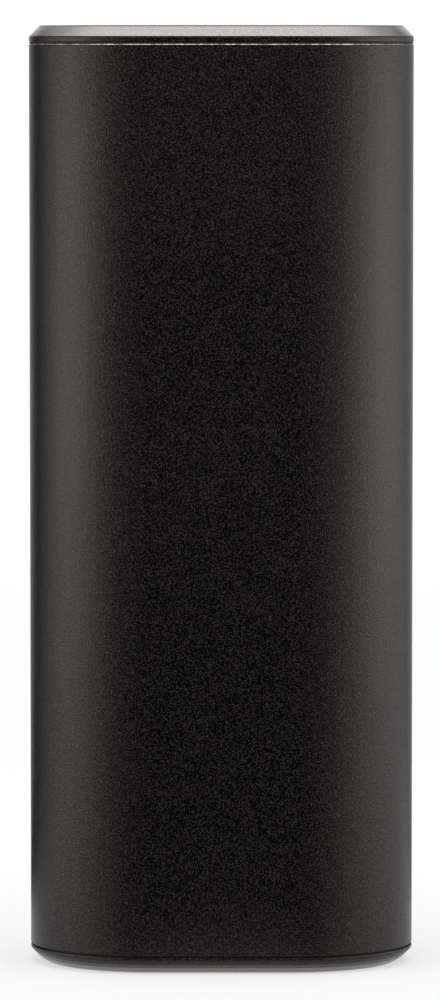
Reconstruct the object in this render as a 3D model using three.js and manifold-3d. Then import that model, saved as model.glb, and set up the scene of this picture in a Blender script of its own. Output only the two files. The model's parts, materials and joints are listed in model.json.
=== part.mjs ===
// A pocket hand warmer: a flattened oval aluminium tube that two plastic caps close.
// Inside, a split carrier holds two lithium cells between a front and a rear film heater.
// The top cap carries the power button over its switch board, and the bottom cap frames the sockets.
// Millimetres, +Z up. The origin is the middle of the bottom cap's outer face; the front faces -Y.

import * as THREE from 'three';
import { mergeVertices } from 'three/addons/utils/BufferGeometryUtils.js';
import Module from 'manifold-3d';

const wasm = await Module();
wasm.setup();

// Driving dimensions

const CELL = { diameter: 18.3, length: 65, gap: 0.3, shoulder: 0.7, nubHeight: 0.8 };
const INSULATOR = { ringWidth: 3.3, rim: 0.4, nubGap: 1, thickness: 0.25 };
const TUBE = { wall: 1.2, flatWidth: 15, heaterSpace: 1.4, sideSpace: 1.6, endBevel: 0.2 };
const CAP = {
  topChamfer: 1.15, topBand: 0.57, bottomChamfer: 0.95, bottomBand: 0.65,
  edgeBevel: 0.1, seamGap: 0.3, skirtDepth: 5, skirtWall: 1,
};
const GASKET = { outerInset: 0.4 };
const FIT = { moulded: 0.3, screw: 0.2, film: 0.1, solder: 0.3 };
const CUT_OVERRUN = 1;

const CARRIER = { bulkhead: 3, postWidth: 8, postHeight: 3.6, postDepth: 5, crownInset: 1.3 };
const CLIP_TAB = { width: 8, thickness: 1.6, root: 1.2 };
const LEG = { diameter: 4.4, skirtGap: 0.55, capGap: 0.3, rib: 2.4, ribHeight: 6 };
const SMALL_SCREW = { shank: 1.6, head: 2.8, headHeight: 0.8, sunk: 0.15, slot: 0.4, slotDepth: 0.4 };
const CAP_SCREW = { shank: 2, head: 3.6, headHeight: 0.9, sunk: 0.35, slot: 0.55, slotDepth: 0.5, length: 8 };
const JOIN_SCREW = { length: 12, legGap: 4 };
const CLIP_SCREW = { length: 4.6 };
const BOARD_SCREW = { length: 4 };

const STRIP = { thickness: 0.3, padDiameter: 8, neckWidth: 5, tabWidth: 2.4 };
const HEATER = { sideMargin: 3.45, endMargin: 2.5, film: 0.2, pad: 0.3, wallGap: 0.15 };
const THERMISTOR = { bead: 1.8, lead: 0.8, padGap: 0.15 };

const MAIN_BOARD = { thickness: 1, capGap: 0.8, legGap: 0.4, aboveSocket: 3.1 };
const BOARD_POST = { width: 3.6, inset: 1.9, height: 4.1, edgeInset: 1.4, screwDrop: 1.7 };
const OUTPUT_SOCKET = {
  width: 13.1, height: 5.7, length: 14, wall: 0.3, corner: 0.5, recess: 0.6, edge: 0.65,
  blockLength: 3, tongueSide: 1, tongueHeight: 1.84, tongueRecess: 0.7,
};
const CHARGE_SOCKET = {
  width: 7.5, height: 2.5, length: 5, wall: 0.25, slope: 0.8, recess: 0.6, edge: 2.15,
  blockLength: 1.2, tongueSide: 1.75, tongueHeight: 0.6, tongueRecess: 0.6,
};
const APERTURE_CORNER = 0.8;
const SOCKET_GAP = 1.6;
const INDUCTOR = { side: 5, height: 3, corner: 0.9, gap: 1.55, drop: 7.8 };
const CHARGE_CHIP = { width: 3.9, length: 4.9, height: 1.5, gap: 1.35, edge: 1, drop: 7.8 };
const CONTROL_CHIP = { width: 6, length: 6, height: 1, leftInset: 8.9, drop: 9.2 };
const CAPACITOR = { width: 3.2, length: 1.6, height: 1.6, pitch: 4.2, rightInset: 4.4, drop: 4, count: 2 };
const CHIP_BEVEL = 0.15;

const LANYARD_POCKET = { width: 5, depth: 3.4, height: 3.2, wall: 0.9, edge: 6.75, skirtGap: 1.25 };
const LANYARD_PIN = { diameter: 1.2, drop: 1.1, hold: 0.7 };

const SWITCH_BOARD = { thickness: 1, postGap: 0.35, boreGap: 1.3, tabGap: 1.15 };
const BOARD_BOSS = { diameter: 3.8, skirtGap: 1.45 };
const SWITCH = { side: 6.2, height: 3.4, corner: 0.5, stem: 3.4, stemLength: 2.4, stemProud: 0.9, bore: 2.2 };
const BUTTON = {
  diameter: 8.4, height: 4.85, recess: 0.15, edge: 0.25, collar: 10, collarHeight: 0.8,
  post: 3.2, stemGap: 0.15, bossGap: 0.9, guideWall: 1, guideDepth: 2,
};
const LIGHT_GUIDE = { pin: 1.5, count: 4, endMargin: 2.6, barWidth: 1.8, barHeight: 1.2, barLift: 2.6 };
const LED = { length: 2, width: 1.25, height: 0.8, notch: 0.3 };
const RIBBON = { width: 3.5, thickness: 0.35, tabGap: 0.7, padGap: 0.15, rise: 2.8, reach: 2.2 };
const RIBBON_SOCKET = { width: 4.5, depth: 2.3, height: 1.5, drop: 1.6 };
const LEAD = { diameter: 1.2, sideGap: 0.8, valleyDepth: 1.55 };
const HEATER_LEAD = { diameter: 1, sideGap: 0.3, wallGap: 0.25 };
const NOTCH = { margin: 0.4, rearMargin: 0.6, frontDepth: 1.75 };

// Round shapes are cut into this many straight steps.
const STEPS = { oval: 26, bore: 28, round: 20, screw: 12, small: 4, wireRound: 3, wireRun: 14 };

// Places that follow from the driving dimensions

const skirtInset = TUBE.wall + FIT.moulded;
const carrierInset = TUBE.wall + FIT.moulded;

// The tube is as wide as the cells need side by side, or as the main board needs between the legs.
const cellsHalfWidth = CELL.diameter + CELL.gap / 2 + TUBE.sideSpace + TUBE.wall;
const outputSpan = OUTPUT_SOCKET.edge + OUTPUT_SOCKET.width;
const chargeSpan = CHARGE_SOCKET.edge + CHARGE_SOCKET.width;
const socketRow = outputSpan + SOCKET_GAP + chargeSpan;
const inductorSpan = INDUCTOR.gap + INDUCTOR.side;
const chipSpan = CHARGE_CHIP.gap + CHARGE_CHIP.width + CHARGE_CHIP.edge;
const componentRow = outputSpan + inductorSpan + chipSpan;
const legSpan = MAIN_BOARD.legGap + LEG.diameter + LEG.skirtGap;
const boardHalfWidth = Math.max(socketRow, componentRow) / 2 + legSpan + CAP.skirtWall + skirtInset;
const halfWidth = Math.max(cellsHalfWidth, boardHalfWidth);
const halfDepth = CELL.diameter / 2 + TUBE.heaterSpace + TUBE.wall;
const flatHalf = TUBE.flatWidth / 2;
const cellX = (CELL.diameter + CELL.gap) / 2;

const bottomFlange = CAP.bottomChamfer + CAP.bottomBand;
const tubeBottom = bottomFlange + CAP.seamGap;
const boardBottom = bottomFlange + MAIN_BOARD.capGap;
const boardTop = OUTPUT_SOCKET.recess + OUTPUT_SOCKET.length + MAIN_BOARD.aboveSocket;
const lowerBulkhead = boardTop + FIT.moulded;
const lowerStrip = lowerBulkhead + CARRIER.bulkhead;
const cellBottom = lowerStrip + STRIP.thickness;
const cellTop = cellBottom + CELL.length;
const upperBulkhead = cellTop + STRIP.thickness;
const carrierTop = upperBulkhead + CARRIER.bulkhead;
const postTop = carrierTop + CARRIER.postHeight;
const switchBoardBottom = postTop + SWITCH_BOARD.postGap;
const switchBoardTop = switchBoardBottom + SWITCH_BOARD.thickness;
const switchTop = switchBoardTop + SWITCH.height;
const stemTop = switchTop + SWITCH.stemProud;
const buttonFoot = stemTop + BUTTON.stemGap;
const buttonTop = buttonFoot + BUTTON.height;
const bodyTop = buttonTop + BUTTON.recess;
const topFlangeBottom = bodyTop - CAP.topChamfer - CAP.topBand;
const tubeTop = topFlangeBottom - CAP.seamGap;

const boardFront = OUTPUT_SOCKET.height / 2;
const boardRear = boardFront + MAIN_BOARD.thickness;
const filmInset = TUBE.wall + HEATER.wallGap;
const padInset = filmInset + HEATER.film + FIT.film;
const heaterPocketInset = padInset + HEATER.pad + FIT.film;
const insulatorOuter = CELL.diameter - 2 * (CELL.shoulder + INSULATOR.rim);
const insulatorInner = insulatorOuter - 2 * INSULATOR.ringWidth;
const heaterBottom = cellBottom + HEATER.endMargin;
const heaterTop = cellTop - HEATER.endMargin;
const heaterHalf = cellX + CELL.diameter / 2 - HEATER.sideMargin;
const clipScrewZ = carrierTop + CARRIER.postHeight / 2;
const boardScrewZ = boardTop - BOARD_POST.screwDrop;

const skirtInner = halfWidth - skirtInset - CAP.skirtWall;
const legX = skirtInner - LEG.skirtGap - LEG.diameter / 2;
const joinX = legX - JOIN_SCREW.legGap;
const boardHalf = legX - LEG.diameter / 2 - MAIN_BOARD.legGap;
const boardPostX = boardHalf - BOARD_POST.inset;
const outputX = OUTPUT_SOCKET.edge + OUTPUT_SOCKET.width / 2 - boardHalf;
const chargeX = boardHalf - CHARGE_SOCKET.edge - CHARGE_SOCKET.width / 2;
const inductorX = outputX + OUTPUT_SOCKET.width / 2 + INDUCTOR.gap + INDUCTOR.side / 2;
const chargeChipX = inductorX + INDUCTOR.side / 2 + CHARGE_CHIP.gap + CHARGE_CHIP.width / 2;
const bossX = skirtInner - BOARD_BOSS.skirtGap - BOARD_BOSS.diameter / 2;
const bossInner = bossX - BOARD_BOSS.diameter / 2;
const buttonX = BUTTON.bossGap + BUTTON.collar / 2 - bossInner;
const buttonGuide = BUTTON.collar + 2 * FIT.moulded;
const firstPinX = buttonX + buttonGuide / 2 + BUTTON.guideWall + LIGHT_GUIDE.endMargin;
const pinPitch = (bossInner - LIGHT_GUIDE.endMargin - firstPinX) / (LIGHT_GUIDE.count - 1);
const pocketX = skirtInner - LANYARD_POCKET.edge - LANYARD_POCKET.width / 2;
const pocketY = LANYARD_POCKET.skirtGap + LANYARD_POCKET.depth / 2 + skirtInset + CAP.skirtWall - halfDepth;
const tabInner = halfDepth - skirtInset - CLIP_TAB.thickness;
const ribbonX = CLIP_TAB.width / 2 + RIBBON.tabGap + RIBBON.width / 2;
const leadX = (THERMISTOR.lead + LEAD.diameter) / 2 + LEAD.sideGap;
const leadY = CELL.diameter / 2 - LEAD.valleyDepth;
const heaterLeadX = leadX + (LEAD.diameter + HEATER_LEAD.diameter) / 2 + HEATER_LEAD.sideGap;
const heaterLeadY = halfDepth - TUBE.wall - HEATER_LEAD.wallGap - HEATER_LEAD.diameter / 2;

// Materials

const makeMaterial = (color, roughness, metalness) => (
  new THREE.MeshStandardMaterial({ color, roughness, metalness })
);

const materials = {
  anodised: makeMaterial(0x272423, 0.42, 0.8),
  capPlastic: makeMaterial(0x1d1b1b, 0.4, 0),
  buttonPlastic: makeMaterial(0x242222, 0.35, 0),
  carrierPlastic: makeMaterial(0x3a3a3c, 0.55, 0),
  silicone: makeMaterial(0x151515, 0.7, 0),
  clearPlastic: makeMaterial(0xe6e6dc, 0.15, 0),
  led: makeMaterial(0xf2efe0, 0.35, 0),
  switchMetal: makeMaterial(0x8d8f92, 0.35, 0.9),
  steel: makeMaterial(0x9a9da1, 0.35, 1),
  blackSteel: makeMaterial(0x2b2b2d, 0.4, 0.9),
  nickel: makeMaterial(0xb9b5aa, 0.3, 1),
  cellWrap: makeMaterial(0x3f8f86, 0.4, 0),
  paper: makeMaterial(0xd8dccb, 0.9, 0),
  heaterFilm: makeMaterial(0xb8742a, 0.4, 0),
  foam: makeMaterial(0x9a9a98, 0.85, 0),
  boardGreen: makeMaterial(0x1f5c3a, 0.45, 0),
  chip: makeMaterial(0x1b1b1d, 0.5, 0),
  ferrite: makeMaterial(0x3b3a3a, 0.6, 0),
  ceramic: makeMaterial(0xa58b63, 0.5, 0),
  socketPlastic: makeMaterial(0x20201f, 0.45, 0),
  ribbonFilm: makeMaterial(0xe9e7df, 0.35, 0),
  redWire: makeMaterial(0xa32020, 0.45, 0),
  blackWire: makeMaterial(0x1a1a1a, 0.45, 0),
  sensorCoat: makeMaterial(0x2a3350, 0.35, 0),
};

// Solids: a closed mesh goes to a solid for cutting and joining, and comes back as a geometry.

function toSolid(geometry) {
  const bare = geometry.clone();
  bare.deleteAttribute('normal');
  bare.deleteAttribute('uv');
  const welded = mergeVertices(bare);
  return new wasm.Manifold(new wasm.Mesh({
    numProp: 3,
    vertProperties: Float32Array.from(welded.attributes.position.array),
    triVerts: Uint32Array.from(welded.index.array),
  }));
}

function toGeometry(solid) {
  const { numProp, vertProperties, triVerts } = solid.getMesh();
  const geometry = new THREE.BufferGeometry();
  geometry.setAttribute('position', new THREE.BufferAttribute(vertProperties, numProp));
  geometry.setIndex(new THREE.BufferAttribute(triVerts, 1));
  geometry.computeVertexNormals();
  return geometry;
}

function join(solids) {
  return solids.reduce((whole, next) => whole.add(next));
}

function cut(solid, cutters) {
  return cutters.reduce((rest, next) => rest.subtract(next), solid);
}

function makePiece(name, solid, material) {
  const mesh = new THREE.Mesh(toGeometry(solid), material);
  mesh.name = name;
  return mesh;
}

// Basic shapes

// The tube's section, drawn in by an inset: flat in front and behind, with a half ellipse on each side.
function ovalOutline(inset) {
  const radiusX = halfWidth - flatHalf - inset;
  const radiusY = halfDepth - inset;
  const outline = new THREE.Shape();
  outline.absellipse(flatHalf, 0, radiusX, radiusY, -Math.PI / 2, Math.PI / 2);
  outline.absellipse(-flatHalf, 0, radiusX, radiusY, Math.PI / 2, -Math.PI / 2);
  outline.closePath();
  return outline;
}

// An outline pulled up from one height to another, with both its ends bevelled where that is asked.
function prism(outline, from, to, bevel = 0, steps = STEPS.small) {
  const geometry = new THREE.ExtrudeGeometry(outline, {
    depth: to - from - 2 * bevel,
    curveSegments: steps / 2,
    bevelEnabled: bevel > 0,
    bevelThickness: bevel,
    bevelSize: bevel,
    bevelOffset: -bevel,
    bevelSegments: 1,
  });
  return toSolid(geometry.translate(0, 0, from + bevel));
}

function ovalBlock(inset, from, to, bevel = 0) {
  return prism(ovalOutline(inset), from, to, bevel, STEPS.oval);
}

function ovalRing(outerInset, innerInset, from, to, bevel = 0) {
  const outline = ovalOutline(outerInset);
  outline.holes.push(ovalOutline(innerInset));
  return prism(outline, from, to, bevel, STEPS.oval);
}

function box(size, centre) {
  return toSolid(new THREE.BoxGeometry(...size).translate(...centre));
}

// A box between two corners, each an [x, y, z] triple.
function boxBetween(low, high) {
  const size = high.map((value, axis) => value - low[axis]);
  const centre = high.map((value, axis) => (value + low[axis]) / 2);
  return box(size, centre);
}

function upright(diameter, x, y, from, to, steps = STEPS.round) {
  const geometry = new THREE.CylinderGeometry(diameter / 2, diameter / 2, to - from, steps);
  return toSolid(geometry.rotateX(Math.PI / 2).translate(x, y, (from + to) / 2));
}

// A cylinder that lies along Y, for the holes of the screws that go in from the front or the rear.
function lyingInY(diameter, x, z, from, to, steps = STEPS.screw) {
  const geometry = new THREE.CylinderGeometry(diameter / 2, diameter / 2, Math.abs(to - from), steps);
  return toSolid(geometry.translate(x, (from + to) / 2, z));
}

function roundedOutline(width, height, corner, x = 0, y = 0) {
  const right = x + width / 2 - corner;
  const left = x - width / 2 + corner;
  const top = y + height / 2 - corner;
  const bottom = y - height / 2 + corner;
  const outline = new THREE.Shape();
  outline.absarc(right, bottom, corner, -Math.PI / 2, 0);
  outline.absarc(right, top, corner, 0, Math.PI / 2);
  outline.absarc(left, top, corner, Math.PI / 2, Math.PI);
  outline.absarc(left, bottom, corner, Math.PI, -Math.PI / 2);
  outline.closePath();
  return outline;
}

// A turned piece from [radius, height] points that start and end on the axis, from the foot up.
function turned(points, x = 0, y = 0, steps = STEPS.round) {
  const profile = points.map(([radius, height]) => new THREE.Vector2(radius, height));
  const geometry = new THREE.LatheGeometry(profile, steps);
  return toSolid(geometry.rotateX(Math.PI / 2).translate(x, y, 0));
}

function wire(points, diameter) {
  const stations = points.map((point) => new THREE.Vector3(...point));
  const path = new THREE.CatmullRomCurve3(stations, false, 'centripetal');
  const section = new THREE.Shape();
  section.absarc(0, 0, diameter / 2, 0, 2 * Math.PI);
  return toSolid(new THREE.ExtrudeGeometry(section, {
    steps: STEPS.wireRun,
    curveSegments: STEPS.wireRound,
    extrudePath: path,
  }));
}

// Screws: a pan head with a crossed slot on a plain shank, drawn with the head's top at height zero.

function makeScrew(name, size, length, place, axis, material) {
  const shank = size.shank / 2;
  const head = size.head / 2;
  const blank = turned([
    [0, -length],
    [shank, -length],
    [shank, -size.headHeight],
    [head, -size.headHeight],
    [head, -size.slotDepth],
    [head - size.slotDepth, 0],
    [0, 0],
  ], 0, 0, STEPS.screw);
  const reach = head + shank;
  const slotHeight = size.slotDepth + CUT_OVERRUN;
  const slotMiddle = (CUT_OVERRUN - size.slotDepth) / 2;
  const solid = cut(blank, [
    box([reach, size.slot, slotHeight], [0, 0, slotMiddle]),
    box([size.slot, reach, slotHeight], [0, 0, slotMiddle]),
  ]);
  const screw = makePiece(name, solid, material);
  screw.position.set(...place);
  screw.quaternion.setFromUnitVectors(new THREE.Vector3(0, 0, 1), new THREE.Vector3(...axis));
  return screw;
}

// The seat of a screw that points into the body along Y from a face: its head's well and its shank's hole.
function screwSeatInY(x, z, face, length) {
  const side = Math.sign(face);
  const floor = face - side * (SMALL_SCREW.sunk + SMALL_SCREW.headHeight + FIT.screw);
  const end = face - side * (SMALL_SCREW.sunk + length + FIT.screw);
  return [
    lyingInY(SMALL_SCREW.head + 2 * FIT.screw, x, z, face + side * CUT_OVERRUN, floor),
    lyingInY(SMALL_SCREW.shank + 2 * FIT.screw, x, z, floor + side * FIT.screw, end),
  ];
}

// Outer shell

function makeTubeShell() {
  const tube = ovalRing(0, TUBE.wall, tubeBottom, tubeTop, TUBE.endBevel);
  return makePiece('tube_shell', tube, materials.anodised);
}

function makeGasket(name, from) {
  const ring = ovalRing(GASKET.outerInset, TUBE.wall, from, from + CAP.seamGap);
  return makePiece(name, ring, materials.silicone);
}

// A cap's flange: a fine bevel by the seam, and the wide chamfer round the outer face.
function topFlange() {
  const edged = ovalBlock(0, topFlangeBottom, bodyTop + CAP.topChamfer, CAP.edgeBevel);
  return edged.intersect(ovalBlock(0, topFlangeBottom - CAP.topChamfer, bodyTop, CAP.topChamfer));
}

function bottomFlangeSolid() {
  const edged = ovalBlock(0, -CAP.bottomChamfer, bottomFlange, CAP.edgeBevel);
  return edged.intersect(ovalBlock(0, 0, bottomFlange + CAP.bottomChamfer, CAP.bottomChamfer));
}

function skirt(from, to) {
  return ovalRing(skirtInset, skirtInset + CAP.skirtWall, from, to);
}

// The tabs under the top cap, in front and behind, that the clip screws hold to the carrier's posts.
function clipTab(side) {
  const outer = side * (halfDepth - skirtInset);
  const inner = outer - side * CLIP_TAB.thickness;
  const half = CLIP_TAB.width / 2;
  const low = [-half, Math.min(outer, inner), carrierTop + FIT.moulded];
  const high = [half, Math.max(outer, inner), topFlangeBottom - CAP.skirtDepth + CLIP_TAB.root];
  return boxBetween(low, high);
}

function pinX(index) {
  return firstPinX + index * pinPitch;
}

// A hole through the top cap's plate.
function topHole(diameter, x, steps) {
  return upright(diameter, x, 0, topFlangeBottom - CUT_OVERRUN, bodyTop + CUT_OVERRUN, steps);
}

const pinIndexes = Array.from({ length: LIGHT_GUIDE.count }, (_, index) => index);

function makeTopCap() {
  const underside = topFlangeBottom;
  const inFlange = underside + CAP.edgeBevel;
  const bosses = [-1, 1].map((side) => (
    upright(BOARD_BOSS.diameter, side * bossX, 0, switchBoardTop, inFlange)
  ));
  const whole = join([
    topFlange(),
    skirt(underside - CAP.skirtDepth, inFlange),
    upright(buttonGuide + 2 * BUTTON.guideWall, buttonX, 0, underside - BUTTON.guideDepth, inFlange),
    clipTab(-1),
    clipTab(1),
    ...bosses,
  ]);
  const pilot = SMALL_SCREW.shank + 2 * FIT.screw;
  const pilotTop = switchBoardBottom + BOARD_SCREW.length;
  const face = halfDepth - skirtInset;
  return makePiece('top_cap', cut(whole, [
    upright(buttonGuide, buttonX, 0, underside - BUTTON.guideDepth - CUT_OVERRUN, underside),
    topHole(BUTTON.diameter + 2 * FIT.moulded, buttonX, STEPS.round),
    ...pinIndexes.map((index) => topHole(LIGHT_GUIDE.pin + 2 * FIT.screw, pinX(index), STEPS.screw)),
    ...[-1, 1].map((side) => (
      upright(pilot, side * bossX, 0, switchBoardTop - CUT_OVERRUN, pilotTop, STEPS.screw)
    )),
    ...[-1, 1].flatMap((side) => screwSeatInY(0, clipScrewZ, side * face, CLIP_SCREW.length)),
  ]), materials.capPlastic);
}

function chargeOutline(grow) {
  const half = CHARGE_SOCKET.width / 2 + grow;
  const low = boardFront - CHARGE_SOCKET.height - grow;
  const high = boardFront + grow;
  const { slope } = CHARGE_SOCKET;
  const outline = new THREE.Shape();
  outline.moveTo(chargeX - half, high);
  outline.lineTo(chargeX - half, low + slope);
  outline.lineTo(chargeX - half + slope, low);
  outline.lineTo(chargeX + half - slope, low);
  outline.lineTo(chargeX + half, low + slope);
  outline.lineTo(chargeX + half, high);
  outline.closePath();
  return outline;
}

function lanyardBlock(grow, to) {
  const { width, depth } = LANYARD_POCKET;
  const outline = roundedOutline(width + 2 * grow, depth + 2 * grow, APERTURE_CORNER, pocketX, pocketY);
  return prism(outline, -CUT_OVERRUN, to);
}

function makeBottomCap() {
  const inFlange = bottomFlange - CAP.edgeBevel;
  const bossTop = bottomFlange + CAP_SCREW.sunk + CAP_SCREW.headHeight;
  const wellTop = CAP_SCREW.sunk + CAP_SCREW.headHeight + FIT.screw;
  const pocketTop = LANYARD_POCKET.height + LANYARD_POCKET.wall;
  const pocketBlock = lanyardBlock(LANYARD_POCKET.wall, pocketTop);
  const pocketWalls = pocketBlock.intersect(ovalBlock(CAP.bottomChamfer, 0, pocketTop));
  const whole = join([
    bottomFlangeSolid(),
    skirt(inFlange, bottomFlange + CAP.skirtDepth),
    pocketWalls,
    ...[-1, 1].map((side) => upright(LEG.diameter, side * legX, 0, inFlange, bossTop)),
  ]);
  const outputHole = roundedOutline(
    OUTPUT_SOCKET.width + 2 * FIT.moulded,
    OUTPUT_SOCKET.height + 2 * FIT.moulded,
    APERTURE_CORNER,
    outputX,
  );
  const pinHalf = LANYARD_POCKET.width / 2 + LANYARD_PIN.hold + FIT.screw;
  const pinHole = new THREE.CylinderGeometry(
    LANYARD_PIN.diameter / 2 + FIT.screw,
    LANYARD_PIN.diameter / 2 + FIT.screw,
    2 * pinHalf,
    STEPS.screw,
  );
  return makePiece('bottom_cap', cut(whole, [
    prism(outputHole, -CUT_OVERRUN, bottomFlange + CUT_OVERRUN),
    prism(chargeOutline(FIT.moulded), -CUT_OVERRUN, bottomFlange + CUT_OVERRUN),
    lanyardBlock(0, LANYARD_POCKET.height),
    toSolid(pinHole.rotateZ(Math.PI / 2).translate(pocketX, pocketY, LANYARD_PIN.drop)),
    ...[-1, 1].flatMap((side) => [
      upright(CAP_SCREW.head + 2 * FIT.screw, side * legX, 0, -CUT_OVERRUN, wellTop),
      upright(CAP_SCREW.shank + 2 * FIT.screw, side * legX, 0, 0, bossTop + CUT_OVERRUN, STEPS.screw),
    ]),
  ]), materials.capPlastic);
}

function makeLanyardPin() {
  const length = LANYARD_POCKET.width + 2 * LANYARD_PIN.hold;
  const geometry = new THREE.CylinderGeometry(
    LANYARD_PIN.diameter / 2,
    LANYARD_PIN.diameter / 2,
    length,
    STEPS.screw,
  );
  geometry.rotateZ(Math.PI / 2).translate(pocketX, pocketY, LANYARD_PIN.drop);
  return makePiece('lanyard_pin', toSolid(geometry), materials.steel);
}

// Button, switch and lights

function makePowerButton() {
  const { diameter, edge, collar, collarHeight, post } = BUTTON;
  const collarTop = topFlangeBottom - FIT.moulded;
  return makePiece('power_button', turned([
    [0, buttonFoot],
    [post / 2, buttonFoot],
    [post / 2, collarTop - collarHeight],
    [collar / 2, collarTop - collarHeight],
    [collar / 2, collarTop],
    [diameter / 2, collarTop],
    [diameter / 2, buttonTop - edge],
    [diameter / 2 - edge, buttonTop],
    [0, buttonTop],
  ], buttonX), materials.buttonPlastic);
}

function makeSwitchStem() {
  const stem = upright(SWITCH.stem, buttonX, 0, stemTop - SWITCH.stemLength, stemTop);
  return makePiece('switch_stem', stem, materials.buttonPlastic);
}

function makeSwitchBody() {
  const outline = roundedOutline(SWITCH.side, SWITCH.side, SWITCH.corner, buttonX);
  const blank = prism(outline, switchBoardTop, switchTop);
  const boreFoot = switchTop - SWITCH.bore;
  const bore = upright(SWITCH.stem + 2 * FIT.screw, buttonX, 0, boreFoot, switchTop + CUT_OVERRUN);
  return makePiece('switch_body', cut(blank, [bore]), materials.switchMetal);
}

function makeSwitchBoard() {
  const blank = ovalBlock(TUBE.wall + SWITCH_BOARD.boreGap, switchBoardBottom, switchBoardTop);
  const middle = (switchBoardBottom + switchBoardTop) / 2;
  const depth = 2 * (tabInner - SWITCH_BOARD.tabGap);
  const strip = box([2 * halfWidth, depth, SWITCH_BOARD.thickness], [0, 0, middle]);
  const trimmed = blank.intersect(strip);
  const holes = [-1, 1].map((side) => upright(
    SMALL_SCREW.shank + 2 * FIT.screw,
    side * bossX,
    0,
    switchBoardBottom - CUT_OVERRUN,
    switchBoardTop + CUT_OVERRUN,
    STEPS.screw,
  ));
  return makePiece('switch_board', cut(trimmed, holes), materials.boardGreen);
}

function makeLightGuide() {
  const pinFoot = switchBoardTop + LED.height + FIT.moulded;
  const barFoot = pinFoot + LIGHT_GUIDE.barLift;
  const pins = pinIndexes.map((index) => (
    upright(LIGHT_GUIDE.pin, pinX(index), 0, pinFoot, bodyTop - BUTTON.recess, STEPS.screw)
  ));
  const barHalf = LIGHT_GUIDE.barWidth / 2;
  const bar = boxBetween(
    [pinX(0) - barHalf, -barHalf, barFoot],
    [pinX(LIGHT_GUIDE.count - 1) + barHalf, barHalf, barFoot + LIGHT_GUIDE.barHeight],
  );
  return makePiece('light_guide', join([bar, ...pins]), materials.clearPlastic);
}

function makeLed(index) {
  const halfLength = LED.length / 2;
  const halfBreadth = LED.width / 2;
  const outline = new THREE.Shape();
  outline.moveTo(-halfBreadth, -halfLength);
  outline.lineTo(halfBreadth, -halfLength);
  outline.lineTo(halfBreadth, halfLength - LED.notch);
  outline.lineTo(halfBreadth - LED.notch, halfLength);
  outline.lineTo(-halfBreadth, halfLength);
  outline.closePath();
  const led = makePiece(`led_${index + 1}`, prism(outline, 0, LED.height), materials.led);
  led.position.set(pinX(index), 0, switchBoardTop);
  return led;
}

// Carrier: two halves with bulkheads beyond the cells' ends and cheeks beside them

function carrierHalf(side) {
  const block = ovalBlock(carrierInset, lowerBulkhead, carrierTop);
  const half = block.intersect(boxBetween(
    [-halfWidth, side < 0 ? -halfDepth : FIT.film, lowerBulkhead],
    [halfWidth, side < 0 ? -FIT.film : halfDepth, carrierTop],
  ));
  const postOuter = tabInner - FIT.moulded;
  const postInner = postOuter - CARRIER.postDepth;
  const post = boxBetween(
    [-CARRIER.postWidth / 2, side < 0 ? -postOuter : postInner, upperBulkhead],
    [CARRIER.postWidth / 2, side < 0 ? -postInner : postOuter, postTop],
  );
  const bores = [-1, 1].map((end) => (
    upright(CELL.diameter + 2 * FIT.moulded, end * cellX, 0, lowerStrip, upperBulkhead, STEPS.bore)
  ));
  const openHalf = cellX - CARRIER.crownInset;
  const valley = boxBetween([-openHalf, -halfDepth, lowerStrip], [openHalf, halfDepth, upperBulkhead]);
  const pocketHalf = heaterHalf + FIT.moulded;
  const heaterPocket = boxBetween(
    [-pocketHalf, -halfDepth, lowerStrip],
    [pocketHalf, halfDepth, upperBulkhead],
  ).subtract(ovalBlock(heaterPocketInset, lowerStrip - CUT_OVERRUN, upperBulkhead + CUT_OVERRUN));
  return cut(half, [...bores, valley, heaterPocket]).add(post);
}

function joinSeats() {
  const levels = [lowerBulkhead, upperBulkhead].map((level) => level + CARRIER.bulkhead / 2);
  return levels.flatMap((z) => [-1, 1].flatMap((side) => (
    screwSeatInY(side * joinX, z, -joinFace(), JOIN_SCREW.length)
  )));
}

// The carrier's outer face beside a join screw, where the section already curves back.
function joinFace() {
  const along = Math.max(0, joinX + SMALL_SCREW.head / 2 - flatHalf);
  const share = along / (halfWidth - flatHalf - carrierInset);
  return (halfDepth - carrierInset) * Math.sqrt(1 - share * share);
}

// A slot from the carrier's edge inwards, through both bulkheads, for what runs along the cells.
function bulkheadNotch(xFrom, xTo, side, innerY) {
  const outer = side * halfDepth;
  const inner = side * innerY;
  return boxBetween(
    [xFrom, Math.min(outer, inner), lowerBulkhead - CUT_OVERRUN],
    [xTo, Math.max(outer, inner), carrierTop + CUT_OVERRUN],
  );
}

function makeCarrierFront() {
  const ribbonHalf = RIBBON.width / 2 + NOTCH.margin;
  const leadHalf = HEATER_LEAD.diameter / 2 + NOTCH.margin;
  const innerY = halfDepth - carrierInset - NOTCH.frontDepth;
  return makePiece('carrier_front', cut(carrierHalf(-1), [
    bulkheadNotch(ribbonX - ribbonHalf, ribbonX + ribbonHalf, -1, innerY),
    bulkheadNotch(-heaterLeadX - leadHalf, -heaterLeadX + leadHalf, -1, innerY),
    ...joinSeats(),
    ...clipPilot(-tabInner),
  ]), materials.carrierPlastic);
}

function clipPilot(face) {
  const end = Math.sign(face) * (halfDepth - skirtInset - SMALL_SCREW.sunk - CLIP_SCREW.length - FIT.screw);
  return [lyingInY(SMALL_SCREW.shank + 2 * FIT.screw, 0, clipScrewZ, face, end)];
}

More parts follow.
